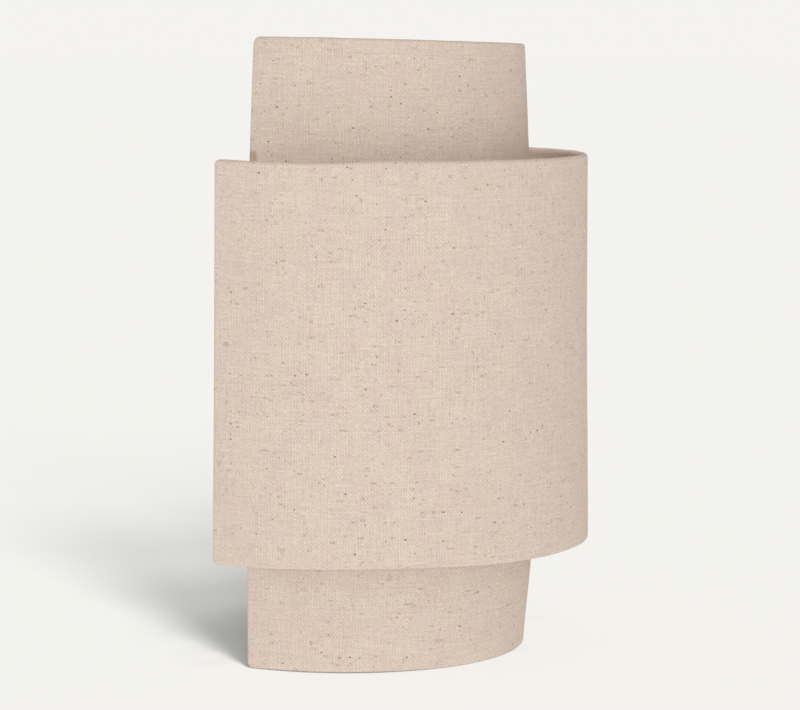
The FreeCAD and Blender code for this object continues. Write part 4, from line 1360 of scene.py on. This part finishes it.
    def fold_lies(self, across: float, wrap: Wrap) -> float:
        """The cloth's depth at a step of its way round the wire.

        Args:
            across: place across the panel.
            wrap: the step.

        Returns:
            The depth, lifted where a fold passes over a rib.
        """
        deepest = 2 * self.roll_depth
        folded = wrap.rim_in > self.roll and wrap.depth < deepest - self.rib_clear
        return min(max(wrap.depth, self.over_rib(across)) if folded else wrap.depth, deepest)

    def side_reach(self, up: float, fold: float) -> float:
        """The side fold's width at a height, less where it is snipped round a bar."""
        snipped = any(abs(up - snip) < self.snip_half for snip in self.snips)
        return min(fold, self.snip_fold) if snipped else fold

    def outline(self, columns: int, rows: int) -> list[tuple[int, int]]:
        """The grid's outline, going round once.

        Args:
            columns: how many columns the grid has.
            rows: how many rows.

        Returns:
            Column and row of each point.
        """
        last_column, last_row = columns - 1, rows - 1
        loop = [(column, 0) for column in range(last_column)]
        loop += [(last_column, row) for row in range(last_row)]
        loop += [(column, last_row) for column in range(last_column, 0, -1)]
        return loop + [(0, row) for row in range(last_row, 0, -1)]

    def wraps(self) -> list[Wrap]:
        """The cloth's way round the wire and along the fold.

        Returns:
            Its steps.
        """
        way: list[tuple[float, float, float]] = []
        for index in range(1, self.roll_steps + 1):
            angle = math.pi * index / self.roll_steps
            inward = self.roll * (1 - math.sin(angle))
            way.append((inward, inward, self.roll_depth * (1 - math.cos(angle))))
        deepest = 2 * self.roll_depth
        for part in self.fold_parts:
            drop = min(1.0, part / self.fold_lands)
            way.append((self.roll + (self.rim_fold - self.roll) * part,
                        self.roll + (self.side_fold - self.roll) * part,
                        deepest - (deepest - self.fold_depth) * drop * drop * (3 - 2 * drop)))
        steps: list[Wrap] = []
        before, gone = (self.roll, 0.0), 0.0
        for rim_in, side_in, depth in way:
            gone += math.dist(before, (rim_in, depth))
            before = (rim_in, depth)
            steps.append(Wrap(rim_in, side_in, depth, gone))
        return steps

    def cloth(self) -> Piece:
        """The linen: face, rolled edges and the folds glued inside.

        Returns:
            The piece.
        """
        columns, rows = self.columns(), self.rows()
        wide, tall = len(columns), len(rows)
        grid = [self.rounded(across, up) for up in rows for across in columns]
        points = [self.place(across, up, 0.0) for across, up in grid]
        flat = [(across * MM, up * MM) for across, up in grid]
        faces = grid_faces(wide, tall)
        previous = [row * wide + column for column, row in self.outline(wide, tall)]
        spots = [grid[number] for number in previous]
        ways = [self.outward(*spot) for spot in spots]
        count = len(spots)
        for wrap in self.wraps():
            ring = list(range(len(points), len(points) + count))
            for spot, way in zip(spots, ways):
                across, up = self.edge_point(*spot, wrap.rim_in, self.side_reach(spot[1], wrap.side_in))
                points.append(self.place(across, up, self.fold_lies(across, wrap)))
                flat.append(((spot[0] + way.x * wrap.gone) * MM, (spot[1] + way.y * wrap.gone) * MM))
            for step in range(count):
                after = (step + 1) % count
                faces.append((previous[step], ring[step], ring[after], previous[after]))
            previous = ring
        return thicken(mesh_piece(self.word + "_tier_linen", points, faces, flat), self.linen)

    def board(self) -> Piece:
        """The liner behind the linen.

        Returns:
            The piece.
        """
        inset = self.roll + self.liner_inset
        columns = spread(-self.half_wide + inset, self.half_wide - inset, self.pitch, self.rib_places())
        rows = spread(-self.tall / 2 + inset, self.tall / 2 - inset, self.pitch, (0.0,))
        points = [self.place(across, up, self.linen + self.liner_gap) for up in rows for across in columns]
        sheet = mesh_piece(self.word + "_tier_liner", points, grid_faces(len(columns), len(rows)))
        return thicken(sheet, self.liner)

    def wire_loop(self) -> Piece:
        """The bent wire in the rolled edges: both rims and both uprights.

        Returns:
            The piece.
        """
        columns, rows = self.columns(), self.rows()
        outline = self.outline(len(columns), len(rows))
        thick = self.rim_wire / 2
        points = []
        for column, row in outline:
            spot = self.rounded(columns[column], rows[row])
            for side in range(self.wire_sides):
                angle = math.tau * side / self.wire_sides
                inward = self.roll - thick * math.cos(angle)
                depth = self.wire_depth + thick * math.sin(angle)
                points.append(self.place(*self.edge_point(*spot, inward, inward), depth))
        faces = tube_faces(0, len(outline), self.wire_sides, closed=True)
        return mesh_piece(self.word + "_tier_wire", points, faces)

    def ribs(self) -> Piece:
        """The upright ribs between the two rim wires.

        Returns:
            The piece.
        """
        rods = Rods()
        reach = self.tall / 2 - self.roll - self.rim_wire / 2
        heights = spread(-reach, reach, self.rib_step)
        for rib in self.rib_places():
            rods.add([self.place(rib, up, self.wire_depth) for up in heights], self.rib_wire / 2)
        return rods.piece(self.word + "_tier_ribs")

    def build(self, finishes: Finishes) -> list[Piece]:
        """Make the tier's pieces and hang them on the shade.

        Args:
            finishes: the finishes by slot.

        Returns:
            The pieces.
        """
        wire, ribs, board, cloth = self.wire_loop(), self.ribs(), self.board(), self.cloth()
        for piece, slot, nodes in (
                (wire, Slot.FRAME_WIRE, ("top_ring", "bottom_ring", "side_wires")),
                (ribs, Slot.FRAME_WIRE, ("ribs",)),
                (board, Slot.LINER, ("liner",)),
                (cloth, Slot.LINEN, ("linen", "side_hems"))):
            finishes.hang(piece, slot, ["%s_%s" % (self.word, node) for node in nodes])
        extra = self.wraps()[-1].gone - self.roll
        size = (2 * (self.half_wide + extra) * MM, (self.tall + 2 * extra) * MM)
        return [wire, ribs, board, cloth]


@dataclass
class ShadeFrame:
    """What joins the tiers' wires: spokes, rails and bars, and the weld beads at their ends.

    Attributes:
        inner: the inner tier.
        outer: the outer tier.
        bar_up: height of bars and spokes above and below the middle.
        bar_out: distance of the bars' middle from the wall.
        spoke_wire: diameter of the spokes.
        spoke_inset: how much deeper than the ribs the spokes end.
        rail_wire: diameter of the rails.
        bead: radius of a weld bead.
        bead_seed: what the beads' shapes come from.
        bead_sides: corners round a bead.
        bead_rings: rings of faces on a bead.
        bead_stretch: least and greatest stretch of a bead.
        bead_lumps: how uneven a bead is.
        bead_grain: how fine its unevenness is.
        bead_shift: reach of the beads' places in the noise.
        rail_bead_in: distance from a rail's end to its bead.
        bar_bead_in: how far a bar's bead lies inside the upright wire.
        bar_bead_back: how far it lies behind the bar.
    """

    inner: Tier
    outer: Tier
    bar_up: float = BAR_UP
    bar_out: float = 6.05
    spoke_wire: float = 2.5
    spoke_inset: float = 1.0
    rail_wire: float = 3.0
    bead: float = 1.9
    bead_seed: int = 11
    bead_sides: int = 10
    bead_rings: int = 6
    bead_stretch: tuple[float, float] = (0.85, 1.2)
    bead_lumps: float = 0.18
    bead_grain: float = 1.7
    bead_shift: float = 50.0
    rail_bead_in: float = 2.0
    bar_bead_in: float = 0.4
    bar_bead_back: float = 1.9

    def spoke_ends(self) -> list[tuple[Vector, Vector]]:
        """Where each of the six spokes starts and ends.

        Returns:
            The two points of each, in metres.
        """
        ends: list[tuple[Vector, Vector]] = []
        for up in (-self.bar_up, self.bar_up):
            for first, last in zip(self.inner.rib_places(), self.outer.rib_places()):
                ends.append((self.inner.place(first, up, self.inner.wire_depth + self.spoke_inset),
                             self.outer.place(last, up, self.outer.wire_depth + self.spoke_inset)))
        return ends

    def rail_ends(self) -> list[tuple[Vector, Vector]]:
        """Where each rail at the wall starts and ends.

        Returns:
            The two points of each, in metres.
        """
        tier = self.inner
        edge, high = tier.half_wide - tier.roll, tier.tall / 2 - tier.roll
        return [(tier.place(-edge, up, tier.wire_depth), tier.place(edge, up, tier.wire_depth))
                for up in (-high, high)]

    def spokes(self) -> Piece:
        """Six rods from the inner ribs to the outer ribs.

        Returns:
            The piece.
        """
        rods = Rods()
        for start, end in self.spoke_ends():
            rods.add_straight(start, end, 4, self.spoke_wire / 2)
        return rods.piece("shade_spokes")

    def rails(self) -> Piece:
        """The two rails that close the inner frame at the wall.

        Returns:
            The piece.
        """
        rods = Rods()
        for start, end in self.rail_ends():
            rods.add_straight(start, end, 6, self.rail_wire / 2)
        return rods.piece("shade_rails")

    def joints(self) -> list[Vector]:
        """Where wires meet.

        Returns:
            The points, in metres.
        """
        spots = [end for ends in self.spoke_ends() for end in ends]
        inset = Vector((self.rail_bead_in * MM, 0.0, 0.0))
        for start, end in self.rail_ends():
            spots += [start + inset, end - inset]
        for up in (-self.bar_up, self.bar_up):
            for tier in (self.inner, self.outer):
                for hand in (-1, 1):
                    wire = tier.place(hand * (tier.half_wide - tier.roll), up, tier.wire_depth)
                    spots.append(Vector((wire.x - hand * self.bar_bead_in * MM,
                                         -(self.bar_out - self.bar_bead_back) * MM, up * MM)))
        return spots

    def beads(self) -> Piece:
        """The weld beads.

        Returns:
            The piece.
        """
        rng = random.Random(self.bead_seed)
        rings, sides = self.bead_rings, self.bead_sides
        points: list[Vector] = []
        faces: list[tuple[int, ...]] = []
        for spot in self.joints():
            start = len(points)
            stretch = Vector([rng.uniform(*self.bead_stretch) for _ in range(3)])
            shift = Vector((rng.uniform(0, self.bead_shift), 0.0, 0.0))
            for ring in range(rings + 1):
                polar = math.pi * ring / rings
                for side in range(sides):
                    angle = math.tau * side / sides
                    way = Vector((math.sin(polar) * math.cos(angle), math.sin(polar) * math.sin(angle),
                                  math.cos(polar)))
                    lump = 1 + self.bead_lumps * noise.noise(way * self.bead_grain + shift)
                    points.append(spot + way * stretch * self.bead * lump * MM)
            for first, second, third, fourth in tube_faces(start, rings + 1, sides):
                faces.append((first, fourth, third, second))
        return mesh_piece("weld_beads", points, faces)

    def build(self, nodes: dict[str, Piece], finishes: Finishes) -> None:
        """Make the rods and beads, and dress the bars.

        Args:
            nodes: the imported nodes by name.
            finishes: the finishes by slot.
        """
        finishes.dress(Slot.FRAME_WIRE, nodes["hanging_bars"])
        finishes.hang(self.spokes(), Slot.FRAME_WIRE, ["tier_spokes"])
        finishes.hang(self.rails(), Slot.FRAME_WIRE, ["inner_back_rails"])
        finishes.hang(self.beads(), Slot.FRAME_WIRE)


# ---- fixture and lamp ------------------------------------------------------------------------


@dataclass
class NodeGroup:
    """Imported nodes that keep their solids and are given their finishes.

    Attributes:
        body: the body that they belong to.
        slots: their names, by slot.
    """

    body: Body
    slots: dict[Slot, tuple[str, ...]]

    def build(self, nodes: dict[str, Piece], finishes: Finishes) -> None:
        """Dress the nodes.

        Args:
            nodes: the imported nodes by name.
            finishes: the finishes by slot.
        """
        for slot, names in self.slots.items():
            for name in names:
                finishes.dress(slot, nodes[name])
                LOG.info("%s: %s, on the %s", name, slot.value, self.body.value)


class WallFixture(NodeGroup):
    """The plate on the wall and everything screwed to it."""

    def __init__(self) -> None:
        """Name the fixture's nodes."""
        super().__init__(Body.FIXTURE, {
            Slot.PLATE: ("wall_plate", "lamp_bracket"),
            Slot.RUBBER: ("cable_grommet",),
            Slot.MOULDING: ("terminal_block", "terminal_cover"),
            Slot.BRASS: ("terminal_poles", "earth_screw", "threaded_shell", "centre_contact", "side_contact"),
            Slot.ZINC: ("terminal_screws", "block_screws", "cover_screws", "bracket_screws", "earth_tag",
                        "nipple", "lock_washer", "nipple_nut"),
            Slot.HOLDER: ("holder_dome", "holder_sleeve"),
            Slot.PORCELAIN: ("holder_insert",),
            Slot.BROWN_WIRE: ("live_wire",),
            Slot.BLUE_WIRE: ("neutral_wire",),
            Slot.EARTH_WIRE_SKIN: ("earth_wire",),
        })


class Lamp(NodeGroup):
    """The screw-in lamp."""

    def __init__(self) -> None:
        """Name the lamp's nodes."""
        super().__init__(Body.BULB, {
            Slot.CAP_METAL: ("bulb_cap", "bulb_tip"),
            Slot.BLACK_GLASS: ("bulb_insulator",),
            Slot.LAMP_HOUSING: ("bulb_housing",),
            Slot.DIFFUSER: ("bulb_diffuser",),
        })


# ---- studio ----------------------------------------------------------------------------------


@dataclass
class Studio:
    """Pale floor, soft light and the camera. Lengths here are in metres and angles in degrees.

    Attributes:
        floor_up: height of the floor.
        floor_reach: half its width.
        back_colour: the background's colour.
        floor_glow: how much of it the floor gives off.
        floor_share: how much of it the floor takes from the lights.
        floor_bounce: how much light the floor gives back to the object.
        sky: strength of the even light.
        side: strength of the light from the side.
        side_way: its way along the floor, from the X axis, and its height.
        floor_lights: way, height and strength of each light that shapes the shadow.
        soft: how wide the lights are.
        camera_at: place of the camera.
        camera_way: its way along the floor.
        camera_dip: how far down it looks.
        camera_roll: how far it is tilted.
        lens: its focal length, in millimetres.
        sensor: width of its sensor, in millimetres.
        sight: how far it sees.
    """

    floor_up: float = -0.190
    floor_reach: float = 40.0
    back_colour: Colour = (0.905, 0.896, 0.863)
    floor_glow: float = 0.275
    floor_share: float = 0.12
    floor_bounce: float = 0.165
    sky: float = 0.68
    side: float = 0.34
    side_way: tuple[float, float] = (36.0, 8.0)
    floor_lights: tuple[tuple[float, float, float], ...] = (
        (53.0, 66.0, 1.72), (53.0, 50.0, 1.80), (53.0, 34.0, 2.65), (51.0, 20.0, 0.90), (36.0, 20.0, 1.75))
    soft: float = 12.0
    camera_at: tuple[float, float, float] = (-1.6098, -1.0237, 0.1942)
    camera_way: tuple[float, float] = (0.8530, 0.5220)
    camera_dip: float = 6.073
    camera_roll: float = 0.298
    lens: float = 136.2
    sensor: float = 36.0
    sight: float = 200.0

    def seen(self, g: Graph) -> Value:
        """Whether a ray shows the background: straight, reflected or seen through something.

        Args:
            g: the graph.

        Returns:
            1 for such a ray.
        """
        path = g.add("ShaderNodeLightPath").outputs
        straight, gloss = Value(g, path["Is Camera Ray"]), Value(g, path["Is Glossy Ray"])
        return straight.larger(gloss).larger(Value(g, path["Is Transmission Ray"]))

    def floor(self) -> Piece:
        """The floor, in the background's colour where the camera sees it.

        Returns:
            The piece.
        """
        corners = [Vector((x * self.floor_reach, y * self.floor_reach, self.floor_up))
                   for x, y in ((-1, -1), (1, -1), (1, 1), (-1, 1))]
        piece = mesh_piece("floor", corners, [(0, 1, 2, 3)])
        g = Graph.of_material("pale_floor")
        shown = tuple(part * self.floor_share for part in self.back_colour)
        lit = g.add("ShaderNodeBsdfDiffuse", {}, {"Color": shown})
        glow = g.add("ShaderNodeEmission", {}, {"Color": self.back_colour, "Strength": self.floor_glow})
        pale = g.add("ShaderNodeAddShader", {}, {0: lit.outputs[0], 1: glow.outputs[0]})
        plain = g.add("ShaderNodeBsdfDiffuse", {}, {"Color": (self.floor_bounce,) * 3})
        both = g.add("ShaderNodeMixShader", {}, {0: self.seen(g), 1: plain.outputs[0], 2: pale.outputs[0]})
        g.add("ShaderNodeOutputMaterial", {}, {"Surface": both.outputs[0]})
        piece.data.materials.append(g.owner)
        return piece

    def sky_light(self) -> None:
        """Even light from all round, with the background's colour where it is seen."""
        world = bpy.data.worlds.new("soft_room")
        bpy.context.scene.world = world
        g = Graph(world)
        light = g.add("ShaderNodeBackground", {}, {"Color": (1.0, 1.0, 1.0), "Strength": self.sky})
        back = g.add("ShaderNodeBackground", {}, {"Color": self.back_colour, "Strength": 1.0})
        both = g.add("ShaderNodeMixShader", {}, {0: self.seen(g), 1: light.outputs[0], 2: back.outputs[0]})
        g.add("ShaderNodeOutputWorld", {}, {"Surface": both.outputs[0]})

    def light(self, name: str, level: float, way: tuple[float, float], floor: Piece, reach: Reach,
              open_to: Sequence[Piece] = ()) -> None:
        """A broad light.

        Args:
            name: the lamp's name.
            level: its light on a surface that faces it, where 1 shows a colour as it is.
            way: where its light goes, from the X axis, and its height above the floor.
            floor: the floor.
            reach: what it lights.
            open_to: pieces that it passes through.
        """
        lamp = bpy.data.lights.new(name, "SUN")
        lamp.energy, lamp.angle = level * math.pi, math.radians(self.soft)
        holder = bpy.data.objects.new(name, lamp)
        turn, rise = map(math.radians, way)
        back = Vector((-math.cos(turn) * math.cos(rise), -math.sin(turn) * math.cos(rise), math.sin(rise)))
        holder.rotation_euler = back.to_track_quat("Z", "Y").to_euler()
        bpy.context.scene.collection.objects.link(holder)
        lit = bpy.data.collections.new(name + "_receivers")
        lit.objects.link(floor)
        lit.collection_objects[0].light_linking.link_state = reach.value
        holder.light_linking.receiver_collection = lit
        if open_to:
            passed = bpy.data.collections.new(name + "_passes")
            for piece in open_to:
                passed.objects.link(piece)
            for entry in passed.collection_objects:
                entry.light_linking.link_state = "EXCLUDE"
            holder.light_linking.blocker_collection = passed

    def camera(self) -> None:
        """The camera at the photograph's place."""
        lens = bpy.data.cameras.new("camera")
        lens.lens, lens.sensor_width, lens.clip_end = self.lens, self.sensor, self.sight
        holder = bpy.data.objects.new("camera", lens)
        dip = math.radians(self.camera_dip)
        way = Vector((self.camera_way[0] * math.cos(dip), self.camera_way[1] * math.cos(dip), -math.sin(dip)))
        holder.location = self.camera_at
        roll = Quaternion((0.0, 0.0, 1.0), math.radians(self.camera_roll))
        holder.rotation_euler = (way.to_track_quat("-Z", "Y") @ roll).to_euler()
        bpy.context.scene.collection.objects.link(holder)
        bpy.context.scene.camera = holder

    def build(self, open_to: Sequence[Piece]) -> None:
        """Set the studio up.

        Args:
            open_to: pieces whose shadow the floor lights leave out.
        """
        self.camera()
        floor = self.floor()
        self.sky_light()
        self.light("side_light", self.side, self.side_way, floor, Reach.ALL_BUT_FLOOR)
        for number, (turn, rise, level) in enumerate(self.floor_lights):
            self.light("floor_light_%d" % number, level, (turn, rise), floor, Reach.FLOOR_ALONE, open_to)
        bpy.context.scene.view_settings.view_transform = "Standard"
        LOG.info("studio: ready")


def tall_of(node: Piece) -> float:
    """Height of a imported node.

    Args:
        node: the node.

    Returns:
        The height, in millimetres to a tenth.
    """
    heights = [(node.matrix_world @ corner.co).z for corner in node.data.vertices]
    return round((max(heights) - min(heights)) * PER_METRE, 1)


def main() -> None:
    """Build the wall light over its frame."""
    logging.basicConfig(level=logging.INFO, format="%(name)s %(message)s")
    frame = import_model()
    finishes = Finishes()
    nodes = frame["nodes"]
    inner = Tier(
        "inner", waist_radius=114.0, tall=tall_of(nodes["inner_linen"]),
        half_widths=((-190, 113.4), (-120, 114.2), (0, 114.0), (100, 114.0), (190, 109.4)),
        bellies=((-190, -0.2), (-168, 1.7), (-142, 4.0), (-100, 5.2), (0, 2.0), (100, -0.2), (190, 0.0)),
        top_line=((-90, 0.8), (-67, 0.5), (-27, -0.8), (13, -1.8), (60, -1.6), (90, -1.0)),
        bottom_line=((-90, -1.3), (-75, -0.6), (-45, -0.4), (-20, -0.8), (30, -0.6), (90, -0.3)),
        lifted=0.35, lean=0.0062, corner_top=4.8, corner_bottom=3.6, seed=1)
    outer = Tier(
        "outer", waist_radius=150.9, tall=tall_of(nodes["outer_linen"]),
        half_widths=((-120, 151.5), (0, 149.9), (120, 149.0)),
        bellies=((-120, 2.0), (0, 1.4), (120, 1.4)),
        top_line=((-90, 0.4), (-68, -0.9), (-50, 0.3), (-15, 0.1), (15, 0.3), (90, 0.2)),
        bottom_line=((-90, -0.9), (-66, -0.2), (-42, 0.2), (-20, -1.2), (5, -1.7), (26, -2.7), (55, -1.4),
                     (90, -0.3)),
        lifted=-0.35, lean=0.0, corner_top=3.4, corner_bottom=4.6, seed=2)
    inner.build(finishes)
    outer_pieces = outer.build(finishes)
    Studio().build(open_to=outer_pieces)
    ShadeFrame(inner, outer).build(nodes, finishes)
    WallFixture().build(nodes, finishes)
    Lamp().build(nodes, finishes)


if __name__ == "__main__":
    main()
